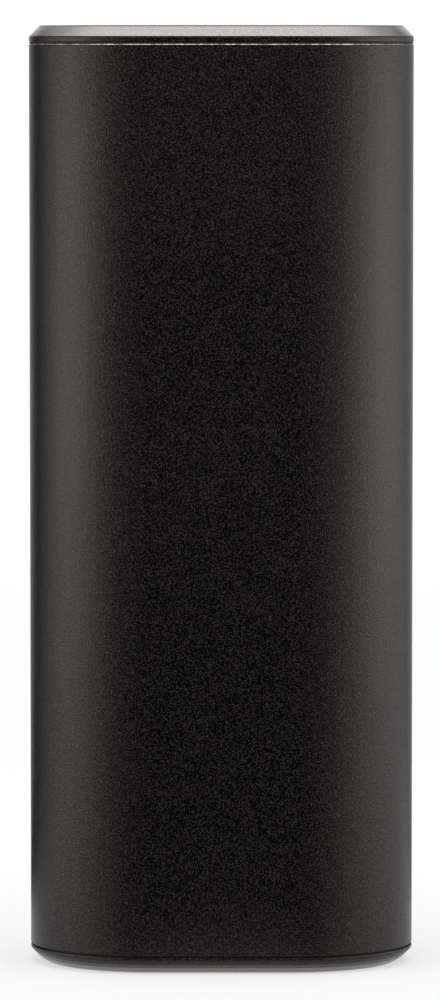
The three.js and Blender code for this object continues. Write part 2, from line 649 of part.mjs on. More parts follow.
// The rear half also has the legs that the cap screws bite into and the posts behind the main board.
function makeCarrierRear() {
  const rootTop = lowerBulkhead + CARRIER.bulkhead / 2;
  const legFoot = bottomFlange + CAP_SCREW.sunk + CAP_SCREW.headHeight + LEG.capGap;
  const legs = [-1, 1].map((side) => upright(LEG.diameter, side * legX, 0, legFoot, lowerBulkhead));
  const ribs = [-1, 1].map((side) => boxBetween(
    [side * legX - LEG.rib / 2, FIT.film, lowerBulkhead - LEG.ribHeight],
    [side * legX + LEG.rib / 2, LEG.diameter / 2 + LEG.rib, rootTop],
  ));
  const posts = [-1, 1].map((side) => boxBetween(
    [side * boardPostX - BOARD_POST.width / 2, boardRear, boardTop - BOARD_POST.height],
    [side * boardPostX + BOARD_POST.width / 2, halfDepth - carrierInset - BOARD_POST.edgeInset, rootTop],
  ));
  const boardPilots = [-1, 1].map((side) => lyingInY(
    SMALL_SCREW.shank + 2 * FIT.screw,
    side * boardPostX,
    boardScrewZ,
    boardRear - CUT_OVERRUN,
    boardFront - SMALL_SCREW.headHeight + BOARD_SCREW.length + FIT.screw,
  ));
  const legPilots = [-1, 1].map((side) => upright(
    CAP_SCREW.shank + 2 * FIT.screw,
    side * legX,
    0,
    0,
    CAP_SCREW.sunk + CAP_SCREW.length + FIT.moulded,
    STEPS.screw,
  ));
  const notchHalf = heaterLeadX + HEATER_LEAD.diameter / 2 + NOTCH.rearMargin;
  return makePiece('carrier_rear', cut(join([carrierHalf(1), ...legs, ...ribs, ...posts]), [
    bulkheadNotch(-notchHalf, notchHalf, 1, leadY - LEAD.diameter / 2 - NOTCH.rearMargin),
    ...joinSeats(),
    ...clipPilot(tabInner),
    ...boardPilots,
    ...legPilots,
  ]), materials.carrierPlastic);
}

// Cells, strips and heaters

function makeCell(name, side) {
  const radius = CELL.diameter / 2;
  const nub = insulatorInner / 2 - INSULATOR.nubGap;
  const shoulderTop = cellTop - CELL.nubHeight;
  return makePiece(name, turned([
    [0, cellBottom],
    [radius - CELL.shoulder, cellBottom],
    [radius, cellBottom + CELL.shoulder],
    [radius, shoulderTop - CELL.shoulder],
    [radius - CELL.shoulder, shoulderTop],
    [nub, shoulderTop],
    [nub, cellTop],
    [0, cellTop],
  ], side * cellX, 0, STEPS.bore), materials.cellWrap);
}

function makeInsulator(name, side) {
  const from = cellTop - CELL.nubHeight;
  const disc = upright(insulatorOuter, side * cellX, 0, from, from + INSULATOR.thickness);
  const hole = upright(insulatorInner, side * cellX, 0, from - CUT_OVERRUN, from + CUT_OVERRUN);
  return makePiece(name, cut(disc, [hole]), materials.paper);
}

// A strip welded across both cells' ends, with a tab that reaches its lead in the rear valley.
function makeStrip(name, from, tabSide) {
  const to = from + STRIP.thickness;
  const pads = [-1, 1].map((side) => upright(STRIP.padDiameter, side * cellX, 0, from, to));
  const neck = boxBetween([-cellX, -STRIP.neckWidth / 2, from], [cellX, STRIP.neckWidth / 2, to]);
  const tabX = tabSide * leadX;
  const tab = boxBetween(
    [tabX - STRIP.tabWidth / 2, 0, from],
    [tabX + STRIP.tabWidth / 2, leadY + LEAD.diameter / 2, to],
  );
  return makePiece(name, join([neck, tab, ...pads]), materials.nickel);
}

function curvedSheet(inset, thickness, side) {
  const window = boxBetween(
    [-heaterHalf, side < 0 ? -halfDepth : 0, heaterBottom],
    [heaterHalf, side < 0 ? 0 : halfDepth, heaterTop],
  );
  return ovalRing(inset, inset + thickness, heaterBottom, heaterTop).intersect(window);
}

function makeHeater(name, side) {
  return makePiece(name, curvedSheet(filmInset, HEATER.film, side), materials.heaterFilm);
}

function makeHeaterPad(name, side) {
  return makePiece(name, curvedSheet(padInset, HEATER.pad, side), materials.foam);
}

function makeThermistor() {
  const y = halfDepth - padInset - HEATER.pad - THERMISTOR.padGap - THERMISTOR.bead / 2;
  const tip = (cellBottom + cellTop) / 2;
  const ball = new THREE.SphereGeometry(THERMISTOR.bead / 2, STEPS.screw, STEPS.screw / 2);
  const bead = toSolid(ball.translate(0, y, tip));
  const lead = wire([
    [0, y, tip],
    [0, y, (tip + lowerStrip) / 2],
    [0, y, lowerStrip],
    [0, y, lowerBulkhead],
    [0, (y + boardRear) / 2, boardTop - RIBBON_SOCKET.drop],
    [0, boardRear + FIT.solder, boardScrewZ - RIBBON_SOCKET.drop],
  ], THERMISTOR.lead);
  return makePiece('thermistor', bead.add(lead), materials.sensorCoat);
}

// Main board and its sockets

function makeMainBoard() {
  const blank = boxBetween([-boardHalf, boardFront, boardBottom], [boardHalf, boardRear, boardTop]);
  const holes = [-1, 1].map((side) => lyingInY(
    SMALL_SCREW.shank + 2 * FIT.screw,
    side * boardPostX,
    boardScrewZ,
    boardFront - CUT_OVERRUN,
    boardRear + CUT_OVERRUN,
  ));
  return makePiece('main_board', cut(blank, holes), materials.boardGreen);
}

function makeOutputShell() {
  const { width, height, length, wall, corner, recess } = OUTPUT_SOCKET;
  const blank = prism(roundedOutline(width, height, corner, outputX), recess, recess + length);
  const hollow = roundedOutline(width - 2 * wall, height - 2 * wall, corner - wall, outputX);
  const inside = prism(hollow, recess - CUT_OVERRUN, recess + length - wall);
  return makePiece('output_socket_shell', cut(blank, [inside]), materials.steel);
}

function makeOutputTongue() {
  const { width, height, length, wall, recess } = OUTPUT_SOCKET;
  const back = recess + length - wall - FIT.film;
  const blockWidth = width - 2 * wall - 2 * FIT.film;
  const blockHeight = height - 2 * wall - 2 * FIT.film;
  const block = boxBetween(
    [outputX - blockWidth / 2, -blockHeight / 2, back - OUTPUT_SOCKET.blockLength],
    [outputX + blockWidth / 2, blockHeight / 2, back],
  );
  const tongueY = blockHeight / 2 - OUTPUT_SOCKET.tongueHeight;
  const halfTongue = width / 2 - OUTPUT_SOCKET.tongueSide;
  const tongue = boxBetween(
    [outputX - halfTongue, tongueY, recess + OUTPUT_SOCKET.tongueRecess],
    [outputX + halfTongue, blockHeight / 2, back],
  );
  return makePiece('output_socket_tongue', block.add(tongue), materials.socketPlastic);
}

function makeChargeShell() {
  const { length, wall, recess } = CHARGE_SOCKET;
  const blank = prism(chargeOutline(0), recess, recess + length);
  const inside = prism(chargeOutline(-wall), recess - CUT_OVERRUN, recess + length - wall);
  return makePiece('charge_socket_shell', cut(blank, [inside]), materials.steel);
}

function makeChargeTongue() {
  const { length, wall, recess } = CHARGE_SOCKET;
  const back = recess + length - wall - FIT.film;
  const block = prism(chargeOutline(-wall - FIT.film), back - CHARGE_SOCKET.blockLength, back);
  const middle = boardFront - CHARGE_SOCKET.height / 2;
  const halfTongue = CHARGE_SOCKET.width / 2 - CHARGE_SOCKET.tongueSide;
  const halfHeight = CHARGE_SOCKET.tongueHeight / 2;
  const tongue = boxBetween(
    [chargeX - halfTongue, middle - halfHeight, recess + CHARGE_SOCKET.tongueRecess],
    [chargeX + halfTongue, middle + halfHeight, back],
  );
  return makePiece('charge_socket_tongue', block.add(tongue), materials.socketPlastic);
}

// A package on the board: an outline with bevelled ends, lying flat on the front or the rear face.
// Its drop is measured from the board's top edge.
function makePackage(name, size, x, outline, side, material) {
  const block = makePiece(name, prism(outline, 0, size.height, CHIP_BEVEL), material);
  block.position.set(x, side < 0 ? boardFront : boardRear, boardTop - size.drop);
  block.rotation.x = side * -Math.PI / 2;
  return block;
}

function rectangle(width, height) {
  const outline = new THREE.Shape();
  outline.moveTo(-width / 2, -height / 2);
  outline.lineTo(width / 2, -height / 2);
  outline.lineTo(width / 2, height / 2);
  outline.lineTo(-width / 2, height / 2);
  outline.closePath();
  return outline;
}

function makePowerInductor() {
  const outline = roundedOutline(INDUCTOR.side, INDUCTOR.side, INDUCTOR.corner);
  return makePackage('power_inductor', INDUCTOR, inductorX, outline, -1, materials.ferrite);
}

function makeChip(name, size, x, side) {
  return makePackage(name, size, x, rectangle(size.width, size.length), side, materials.chip);
}

function makeCapacitor(index) {
  const x = boardHalf - CAPACITOR.rightInset - index * CAPACITOR.pitch;
  const outline = rectangle(CAPACITOR.width, CAPACITOR.length);
  return makePackage(`capacitor_${index + 1}`, CAPACITOR, x, outline, -1, materials.ceramic);
}

// Ribbon and leads

function ribbonRun() {
  const outer = -(halfDepth - padInset - HEATER.pad - RIBBON.padGap);
  return { outer, inner: outer + RIBBON.thickness };
}

function makeRibbonCable() {
  const { outer, inner } = ribbonRun();
  const left = ribbonX - RIBBON.width / 2;
  const right = ribbonX + RIBBON.width / 2;
  const foot = boardTop - RIBBON_SOCKET.drop;
  const head = carrierTop + RIBBON.rise;
  const footEnd = boardFront - RIBBON_SOCKET.depth - FIT.film;
  return makePiece('ribbon_cable', join([
    boxBetween([left, outer, foot], [right, inner, head]),
    boxBetween([left, outer, foot], [right, footEnd, foot + RIBBON.thickness]),
    boxBetween([left, outer, head - RIBBON.thickness], [right, outer + RIBBON.reach, head]),
  ]), materials.ribbonFilm);
}

function makeLowerRibbonSocket() {
  const middle = boardTop - RIBBON_SOCKET.drop + RIBBON.thickness / 2;
  const size = [RIBBON_SOCKET.width, RIBBON_SOCKET.depth, RIBBON_SOCKET.height];
  return makePiece('ribbon_socket_lower', box(size, [
    ribbonX, boardFront - RIBBON_SOCKET.depth / 2, middle,
  ]), materials.ribbonFilm);
}

function makeUpperRibbonSocket() {
  const { outer } = ribbonRun();
  const size = [RIBBON_SOCKET.width, RIBBON_SOCKET.depth, RIBBON_SOCKET.height];
  return makePiece('ribbon_socket_upper', box(size, [
    ribbonX,
    outer + RIBBON.reach + FIT.film + RIBBON_SOCKET.depth / 2,
    switchBoardBottom - RIBBON_SOCKET.height / 2,
  ]), materials.ribbonFilm);
}

function makeLead(name, x, from, material) {
  return makePiece(name, wire([
    [x, leadY, from - FIT.solder],
    [x, leadY, (from + lowerBulkhead) / 2],
    [x, leadY, lowerBulkhead],
    [x, (leadY + boardRear) / 2, boardTop - RIBBON_SOCKET.drop],
    [x, boardRear + FIT.solder, boardScrewZ - RIBBON_SOCKET.drop],
  ], LEAD.diameter), material);
}

function makeHeaterLeadRear() {
  return makePiece('heater_lead_rear', wire([
    [heaterLeadX, heaterLeadY, heaterBottom - FIT.solder],
    [heaterLeadX, heaterLeadY, lowerStrip],
    [heaterLeadX, heaterLeadY, lowerBulkhead],
    [heaterLeadX, (heaterLeadY + boardRear) / 2, boardTop - RIBBON_SOCKET.drop],
    [heaterLeadX, boardRear + FIT.solder, boardScrewZ - RIBBON_SOCKET.drop],
  ], HEATER_LEAD.diameter), materials.redWire);
}

function makeHeaterLeadFront() {
  return makePiece('heater_lead_front', wire([
    [-heaterLeadX, -heaterLeadY, heaterBottom - FIT.solder],
    [-heaterLeadX, -heaterLeadY, lowerStrip],
    [-heaterLeadX, -heaterLeadY, lowerBulkhead],
    [-heaterLeadX, -(heaterLeadY - boardFront) / 2, boardTop - RIBBON_SOCKET.drop],
    [-heaterLeadX, boardFront - FIT.solder, boardTop - RIBBON_SOCKET.drop],
  ], HEATER_LEAD.diameter), materials.redWire);
}

// Fasteners

function joinScrews() {
  const y = -(joinFace() - SMALL_SCREW.sunk);
  const levels = { lower: lowerBulkhead, upper: upperBulkhead };
  return Object.entries(levels).flatMap(([level, from]) => (
    [['left', -1], ['right', 1]].map(([hand, side]) => makeScrew(
      `carrier_screw_${level}_${hand}`,
      SMALL_SCREW,
      JOIN_SCREW.length,
      [side * joinX, y, from + CARRIER.bulkhead / 2],
      [0, -1, 0],
      materials.steel,
    ))
  ));
}

function clipScrews() {
  const y = halfDepth - skirtInset - SMALL_SCREW.sunk;
  return [['front', -1], ['rear', 1]].map(([hand, side]) => makeScrew(
    `cap_clip_screw_${hand}`,
    SMALL_SCREW,
    CLIP_SCREW.length,
    [0, side * y, clipScrewZ],
    [0, side, 0],
    materials.steel,
  ));
}

// A left and a right screw, each at x from the middle, whose heads' tops are at one [y, z] place.
function sidePair(prefix, x, [y, z], axis, drawScrew) {
  return [['left', -1], ['right', 1]].map(([hand, side]) => (
    drawScrew(`${prefix}_${hand}`, [side * x, y, z], axis)
  ));
}

const drawCapScrew = (name, place, axis) => (
  makeScrew(name, CAP_SCREW, CAP_SCREW.length, place, axis, materials.blackSteel)
);

const drawBoardScrew = (name, place, axis) => (
  makeScrew(name, SMALL_SCREW, BOARD_SCREW.length, place, axis, materials.steel)
);

function makeScrews() {
  const mainHead = [boardFront - SMALL_SCREW.headHeight, boardScrewZ];
  const switchHead = [0, switchBoardBottom - SMALL_SCREW.headHeight];
  return [
    ...joinScrews(),
    ...clipScrews(),
    ...sidePair('cap_screw', legX, [0, CAP_SCREW.sunk], [0, 0, -1], drawCapScrew),
    ...sidePair('main_board_screw', boardPostX, mainHead, [0, -1, 0], drawBoardScrew),
    ...sidePair('switch_board_screw', bossX, switchHead, [0, 0, -1], drawBoardScrew),
  ];
}

// The whole hand warmer

function makeHandWarmer() {
  const handWarmer = new THREE.Group();
  handWarmer.add(
    makeTubeShell(),
    makeTopCap(),
    makeBottomCap(),
    makeGasket('top_gasket', tubeTop),
    makeGasket('bottom_gasket', bottomFlange),
    makeLanyardPin(),
    makePowerButton(),
    makeSwitchStem(),
    makeSwitchBody(),
    makeSwitchBoard(),
    makeLightGuide(),
    ...pinIndexes.map(makeLed),
    makeCarrierFront(),
    makeCarrierRear(),
    makeCell('cell_left', -1),
    makeCell('cell_right', 1),
    makeInsulator('cell_insulator_left', -1),
    makeInsulator('cell_insulator_right', 1),
    makeStrip('nickel_strip_top', cellTop, -1),
    makeStrip('nickel_strip_bottom', lowerStrip, 1),
    makeHeater('heater_front', -1),
    makeHeater('heater_rear', 1),
    makeHeaterPad('heater_pad_front', -1),
    makeHeaterPad('heater_pad_rear', 1),
    makeThermistor(),
    makeMainBoard(),
    makeOutputShell(),
    makeOutputTongue(),
    makeChargeShell(),
    makeChargeTongue(),
    makePowerInductor(),
    makeChip('charge_chip', CHARGE_CHIP, chargeChipX, -1),
    makeChip('control_chip', CONTROL_CHIP, CONTROL_CHIP.leftInset - boardHalf, 1),
    ...Array.from({ length: CAPACITOR.count }, (_, index) => makeCapacitor(index)),
    makeRibbonCable(),
    makeLowerRibbonSocket(),
    makeUpperRibbonSocket(),
    makeLead('lead_positive', -leadX, cellTop, materials.redWire),
    makeLead('lead_negative', leadX, lowerStrip, materials.blackWire),
    makeHeaterLeadFront(),
    makeHeaterLeadRear(),
    ...makeScrews(),
  );
  return handWarmer;
}

export default makeHandWarmer();
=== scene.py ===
"""The looks of a rechargeable hand warmer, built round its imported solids.

A blasted black tube of flattened oval section stands between two black caps with bright slanted rims.
The top cap carries the button and four lights. The bottom cap frames two sockets, two screws and a
strap pin. Metres, +Z up, and the front faces -Y.
"""

import json
import logging
import math
from dataclasses import dataclass, replace
from enum import Enum
from typing import Callable, Iterable, Sequence

import bmesh
import bpy
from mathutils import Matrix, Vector


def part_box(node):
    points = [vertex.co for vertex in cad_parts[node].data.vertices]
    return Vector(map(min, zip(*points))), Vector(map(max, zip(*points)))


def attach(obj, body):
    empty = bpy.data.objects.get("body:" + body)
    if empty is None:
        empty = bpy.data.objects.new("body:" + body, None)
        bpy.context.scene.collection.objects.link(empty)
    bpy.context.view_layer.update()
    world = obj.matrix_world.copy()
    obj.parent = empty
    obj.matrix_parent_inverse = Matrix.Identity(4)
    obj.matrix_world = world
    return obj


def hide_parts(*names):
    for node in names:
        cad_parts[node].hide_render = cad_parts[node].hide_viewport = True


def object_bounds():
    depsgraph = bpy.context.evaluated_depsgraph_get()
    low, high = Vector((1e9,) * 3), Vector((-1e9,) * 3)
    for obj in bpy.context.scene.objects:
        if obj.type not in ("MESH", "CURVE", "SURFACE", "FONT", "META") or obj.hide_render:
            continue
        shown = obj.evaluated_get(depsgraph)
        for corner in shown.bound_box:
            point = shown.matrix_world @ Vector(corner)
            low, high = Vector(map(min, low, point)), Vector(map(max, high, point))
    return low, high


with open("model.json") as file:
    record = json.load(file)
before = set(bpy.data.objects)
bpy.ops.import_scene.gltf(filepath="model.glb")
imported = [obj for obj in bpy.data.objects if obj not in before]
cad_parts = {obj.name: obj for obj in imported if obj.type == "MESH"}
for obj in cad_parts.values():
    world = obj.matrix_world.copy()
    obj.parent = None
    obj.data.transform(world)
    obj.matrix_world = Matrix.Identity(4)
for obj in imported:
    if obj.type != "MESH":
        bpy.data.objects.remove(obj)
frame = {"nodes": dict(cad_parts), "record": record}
CAD_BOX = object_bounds()

LOG = logging.getLogger("hand_warmer")

# Colours as a screen shows them
SCREEN_WHITE = 255
DARK_LIMIT = 0.04045
DARK_SLOPE = 12.92
CURVE_OFFSET = 0.055
CURVE_POWER = 2.4

# The range in which a noise texture's values lie, and what speckle does to its dark end
NOISE_LOW = 0.3
NOISE_HIGH = 0.7
SPECKLE_DEPTH = 2.0

# Modelling
SAME_PLACE = 1e-7
SMOOTH_ANGLE = math.radians(30)
QUARTER_TURN = math.pi / 2
BOTH_SIDES = (-1, 1)
HALF = 0.5
HALF_RUN = 0.45
UPRIGHT = 0.9
CORNER_STEPS = 6
EDGE_STEPS = 2
CAP_STEPS = 4
CHARGE_SLOPE = 0.0008
LARGE_ROUND = 96
MIDDLE_ROUND = 64
SMALL_ROUND = 48
TINY_ROUND = 32

# Which faces of the tube and the caps are painted, by slope and by share of the outline
BEVEL_SLOPE = 0.3
RIM_LOW = 0.2
RIM_HIGH = 0.97
RIM_SHARE = 0.8

Colour = tuple[float, float, float]
ScreenColour = tuple[int, int, int]
Station = tuple[float, float]
Place = tuple[float, float, float]
Input = bpy.types.NodeSocket | float | Sequence[float]


class Body(Enum):
    """The moving bodies that a piece can ride on."""

    HOUSING = "housing"
    BUTTON = "button"


class Pattern(Enum):
    """What a finish shows besides its grain, each with the texture that draws it."""

    PLAIN = ""
    BANDS = "TexWave"
    TRACES = "TexBrick"


class Joining(Enum):
    """How a second shape changes the first."""

    ADD = "UNION"
    CUT = "DIFFERENCE"


# Finishes


def from_screen(colour: ScreenColour) -> Colour:
    """Turns a colour as a screen shows it into a linear one.

    Args:
        colour: The red, green and blue shares, from 0 to 255.

    Returns:
        The linear colour.
    """
    def linear(value: int) -> float:
        """Turns one channel linear.

        Args:
            value: The channel's share, from 0 to 255.

        Returns:
            The linear value.
        """
        share = value / SCREEN_WHITE
        if share <= DARK_LIMIT:
            return share / DARK_SLOPE
        return ((share + CURVE_OFFSET) / (1.0 + CURVE_OFFSET)) ** CURVE_POWER

    return tuple(linear(value) for value in colour)


class NodeSheet:
    """The nodes of one material, world or group, added and linked by name."""

    def __init__(self, tree: bpy.types.NodeTree) -> None:
        """Starts on an emptied node tree."""
        self.tree = tree
        tree.nodes.clear()

    @classmethod
    def for_material(cls, name: str) -> tuple[bpy.types.Material, "NodeSheet"]:
        """Starts a new material.

        Args:
            name: The material's name.

        Returns:
            The material and its empty sheet.
        """
        material = bpy.data.materials.new(name)
        material.use_nodes = True
        return material, cls(material.node_tree)

    def feed(self, target: bpy.types.NodeSocket, value: Input) -> None:
        """Gives an input its value.

        Args:
            target: The input.
            value: A plain value to set, or another node's socket to link.
        """
        if isinstance(value, bpy.types.NodeSocket):
            self.tree.links.new(value, target)
        else:
            target.default_value = value

    def add(self, kind: str, *numbered: Input, operation: str = "", **named: Input) -> bpy.types.Node:
        """Adds a node.

        Args:
            kind: The node's type, without the leading ShaderNode.
            numbered: Values or sockets for its first inputs, in their order.
            operation: What it does, where it is a node with a choice of operations.
            named: Values or sockets for its inputs by name, with _ for a space.

        Returns:
            The new node.
        """
        prefix = "" if kind.startswith("NodeGroup") else "ShaderNode"
        node = self.tree.nodes.new(prefix + kind)
        if operation:
            node.operation = operation
        for target, value in zip(node.inputs, numbered):
            self.feed(target, value)
        for name, value in named.items():
            self.feed(node.inputs[name.replace("_", " ")], value)
        return node

    def spread(self, source: bpy.types.NodeSocket, low: float, high: float) -> bpy.types.NodeSocket:
        """Maps the middle of a noise's range onto a wider or narrower one.

        Args:
            source: The socket that gives the noise.
            low: What the dark end becomes.
            high: What the light end becomes.

        Returns:
            The socket with the new value.
        """
        node = self.add(
            "MapRange", Value=source, From_Min=NOISE_LOW, From_Max=NOISE_HIGH, To_Min=low, To_Max=high
        )
        return node.outputs["Result"]


class SkinGroup:
    """The node group that every finish shares: a fine grain and soft clouds, and their mixture."""

    NAME: str = "skin"
    GRAIN: dict[str, float] = {"Detail": 2.0, "Roughness": 0.5}
    CLOUDS: dict[str, float] = {"Detail": 3.0}

    @classmethod
    def tree(cls) -> bpy.types.NodeTree:
        """Gives the group, which is built the first time."""
        return bpy.data.node_groups.get(cls.NAME) or cls.build()

    @classmethod
    def build(cls) -> bpy.types.NodeTree:
        """Builds the group's sockets and nodes.

        Returns:
            The node tree of the group.
        """
        tree = bpy.data.node_groups.new(cls.NAME, "ShaderNodeTree")
        sockets = tree.interface
        sockets.new_socket("Vector", in_out="INPUT", socket_type="NodeSocketVector")
        for name in ("Grain Scale", "Cloud Scale", "Grain Share"):
            sockets.new_socket(name, in_out="INPUT", socket_type="NodeSocketFloat")
        for name in ("Grain", "Clouds", "Tone"):
            sockets.new_socket(name, in_out="OUTPUT", socket_type="NodeSocketFloat")
        sheet = NodeSheet(tree)
        given = sheet.add("NodeGroupInput").outputs
        grain, clouds = (
            sheet.add("TexNoise", Vector=given["Vector"], Scale=given[scale], **settings).outputs["Fac"]
            for scale, settings in (("Grain Scale", cls.GRAIN), ("Cloud Scale", cls.CLOUDS))
        )
        tone = sheet.add("Mix", Factor=given["Grain Share"], A=clouds, B=grain)
        sheet.add("NodeGroupOutput", Grain=grain, Clouds=clouds, Tone=tone.outputs["Result"])
        return tree


@dataclass(frozen=True)
class Finish:
    """One surface: two tones that grain and clouds mix, over a slightly uneven skin.

    Tones are as a screen shows them. Scales are in repeats per metre, and the bump's depth is in
    metres. Speckle turns the even mixture into separate light specks on the shade.
    """

    name: str
    tone: ScreenColour
    shade: ScreenColour
    roughness: float
    roughness_spread: float = 0.06
    metallic: float = 0.0
    specular: float = 0.5
    specular_tint: Colour = (1.0, 1.0, 1.0)
    transmission: float = 0.0
    grain_scale: float = 5000.0
    cloud_scale: float = 60.0
    grain_share: float = 0.5
    speckle: float = 0.0
    bump_strength: float = 0.25
    bump_depth: float = 0.00003
    stretch: Place = (1.0, 1.0, 1.0)
    pattern: Pattern = Pattern.PLAIN
    accent: ScreenColour = (128, 128, 128)
    pattern_scale: float = 500.0

    def material(self) -> bpy.types.Material:
        """Gives the finish as a material, which is made the first time."""
        return bpy.data.materials.get(self.name) or self.make()

    def make(self) -> bpy.types.Material:
        """Builds the material's nodes.

        Returns:
            The new material.
        """
        material, sheet = NodeSheet.for_material(self.name)
        where = sheet.add("TexCoord").outputs["Object"]
        place = sheet.add("Mapping", Vector=where, Scale=self.stretch).outputs["Vector"]
        group = sheet.add("Group")
        group.node_tree = SkinGroup.tree()
        for name, value in (
            ("Vector", place), ("Grain Scale", self.grain_scale), ("Cloud Scale", self.cloud_scale),
            ("Grain Share", self.grain_share),
        ):
            sheet.feed(group.inputs[name], value)
        skin = group.outputs
        share = sheet.spread(skin["Tone"], -SPECKLE_DEPTH * self.speckle, 1.0 + self.speckle)
        first, second = ((*from_screen(colour), 1.0) for colour in (self.shade, self.tone))
        colour = sheet.add("MixRGB", Fac=share, Color1=first, Color2=second).outputs["Color"]
        low, high = self.roughness - self.roughness_spread, self.roughness + self.roughness_spread
        bump = sheet.add(
            "Bump", Strength=self.bump_strength, Distance=self.bump_depth, Height=skin["Grain"]
        )
        shader = sheet.add(
            "BsdfPrincipled", Metallic=self.metallic, Specular_IOR_Level=self.specular,
            Transmission_Weight=self.transmission, Specular_Tint=(*self.specular_tint, 1.0),
            Base_Color=self.patterned(sheet, place, colour), Normal=bump.outputs["Normal"],
            Roughness=sheet.spread(skin["Clouds"], low, high),
        )
        sheet.add("OutputMaterial", Surface=shader.outputs["BSDF"])
        return material

    def patterned(
        self, sheet: NodeSheet, place: bpy.types.NodeSocket, colour: bpy.types.NodeSocket
    ) -> bpy.types.NodeSocket:
        """Lays the finish's pattern over its colour.

        Args:
            sheet: The material's nodes.
            place: The coordinates that the pattern follows.
            colour: The colour under the pattern.

        Returns:
            The socket with the patterned colour.
        """
        if self.pattern is Pattern.PLAIN:
            return colour
        texture = sheet.add(self.pattern.value, Vector=place, Scale=self.pattern_scale)
        accent = (*from_screen(self.accent), 1.0)
        mixed = sheet.add("MixRGB", Fac=texture.outputs["Fac"], Color1=colour, Color2=accent)
        return mixed.outputs["Color"]


BLASTED = Finish(
    "blasted_anodising", (43, 39, 40), (0, 0, 0), 0.33,
    roughness_spread=0.02, specular=0.25, specular_tint=(1.0, 0.9, 0.85), grain_scale=7800.0,
    cloud_scale=40.0, grain_share=0.98, speckle=2.2, bump_strength=1.0, bump_depth=0.00005,
)

FINISHES: dict[str, Finish] = {
    "anodised_aluminium": BLASTED,
    "cap_plastic": replace(BLASTED, name="matched_black_cap", tone=(47, 42, 43)),
    "button_plastic": Finish(
        "smooth_black_button", (34, 33, 33), (24, 23, 23), 0.3,
        specular=0.45, grain_scale=9000.0, bump_strength=0.12,
    ),
    "silicone": Finish(
        "black_silicone", (24, 24, 24), (12, 12, 12), 0.7, specular=0.3,
    ),
    "clear_plastic": Finish(
        "frosted_light_pipe", (236, 236, 228), (218, 219, 212), 0.22,
        specular=0.5, transmission=0.35, grain_scale=3000.0, bump_strength=0.1,
    ),
    "led_package": Finish(
        "light_package", (240, 236, 216), (214, 206, 170), 0.35,
    ),
    "switch_metal": Finish(
        "switch_plate", (168, 170, 173), (134, 136, 140), 0.34, metallic=0.9,
        stretch=(1.0, 12.0, 1.0),
    ),
    "steel": Finish(
        "bright_steel", (178, 180, 184), (142, 144, 148), 0.3, metallic=1.0,
        stretch=(1.0, 1.0, 9.0), grain_scale=3000.0, bump_strength=0.15,
    ),
    "black_steel": Finish(
        "blackened_steel", (66, 65, 66), (38, 37, 38), 0.36, metallic=0.9,
        grain_scale=4200.0,
    ),
    "nickel": Finish(
        "nickel_strip", (196, 191, 178), (164, 159, 146), 0.32, metallic=1.0,
        stretch=(1.0, 14.0, 1.0), grain_scale=1500.0,
    ),
    "cell_wrap": Finish(
        "shrunk_cell_wrap", (70, 152, 142), (52, 126, 118), 0.36,
        grain_scale=900.0, cloud_scale=120.0, bump_strength=0.2,
    ),
    "paper": Finish(
        "fish_paper", (222, 226, 206), (190, 196, 176), 0.88,
        grain_scale=2600.0, bump_strength=0.5,
    ),
    "heater_film": Finish(
        "heater_film", (196, 128, 54), (168, 102, 36), 0.36,
        pattern=Pattern.BANDS, accent=(132, 76, 30), pattern_scale=260.0,
    ),
    "foam": Finish(
        "open_foam", (164, 164, 162), (118, 118, 116), 0.92,
        grain_scale=1900.0, grain_share=0.85, bump_strength=0.8, bump_depth=0.0001,
    ),
    "carrier_plastic": Finish(
        "grey_carrier", (68, 68, 71), (50, 50, 53), 0.55, grain_scale=2400.0,
    ),
    "board": Finish(
        "green_board", (36, 98, 62), (26, 80, 50), 0.4,
        pattern=Pattern.TRACES, accent=(58, 128, 84), pattern_scale=420.0,
    ),
    "chip_package": Finish(
        "chip_package", (34, 34, 36), (24, 24, 26), 0.5, grain_scale=8000.0,
        bump_strength=0.4,
    ),
    "ferrite": Finish(
        "ferrite_block", (70, 69, 69), (46, 45, 45), 0.6, grain_scale=3600.0,
        bump_strength=0.6,
    ),
    "ceramic": Finish(
        "ceramic_part", (176, 150, 110), (146, 122, 86), 0.45, grain_scale=4000.0,
    ),
    "socket_plastic": Finish(
        "socket_insert", (38, 38, 37), (26, 26, 25), 0.42, grain_scale=5200.0,
    ),
    "ribbon_film": Finish(
        "ribbon_film", (232, 230, 222), (206, 204, 196), 0.34,
        pattern=Pattern.BANDS, accent=(176, 176, 172), pattern_scale=620.0,
    ),
    "red_wire": Finish("red_wire", (172, 40, 38), (140, 26, 26), 0.45),
    "black_wire": Finish("black_wire", (32, 32, 32), (20, 20, 20), 0.45),
    "sensor_coat": Finish(
        "sensor_coat", (48, 58, 88), (32, 42, 66), 0.34, grain_scale=2500.0,
    ),
}

# Bare cut metal laid only where faces look upwards: partly the real cut edge, partly a painted highlight,
# since the tube's lower end is cut alike but stays dark
BARE_EDGE_AND_HIGHLIGHT = Finish(
    "bare_cut_edge_and_highlight", (226, 220, 214), (128, 124, 121), 0.3, metallic=1.0,
    grain_scale=2300.0, grain_share=0.9, speckle=0.35, bump_strength=0.5,
)
BRIGHT_RIM = Finish(
    "bright_slanted_rim", (142, 138, 136), (118, 115, 113), 0.3, metallic=1.0,
    grain_scale=5200.0, grain_share=0.9, bump_strength=0.45,
)
# A darker copy of the bright rim, as painted shade on the rows of the bottom cap's rim above the bright
# ones
PAINTED_SHADE_RIM = replace(
    BRIGHT_RIM, name="painted_shade_rim_edge", tone=(96, 94, 93), shade=(80, 78, 77)
)
GOLD_CONTACT = Finish(
    "gold_contact", (226, 188, 112), (196, 156, 84), 0.25, metallic=1.0,
    grain_scale=3000.0,
)


# Modelling


def span(node: str, axis: str) -> tuple[float, float]:
    """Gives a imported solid's middle along an axis, named by its letter, and half its size."""
    low, high = (getattr(corner, axis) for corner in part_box(node))
    return (low + high) / 2, (high - low) / 2


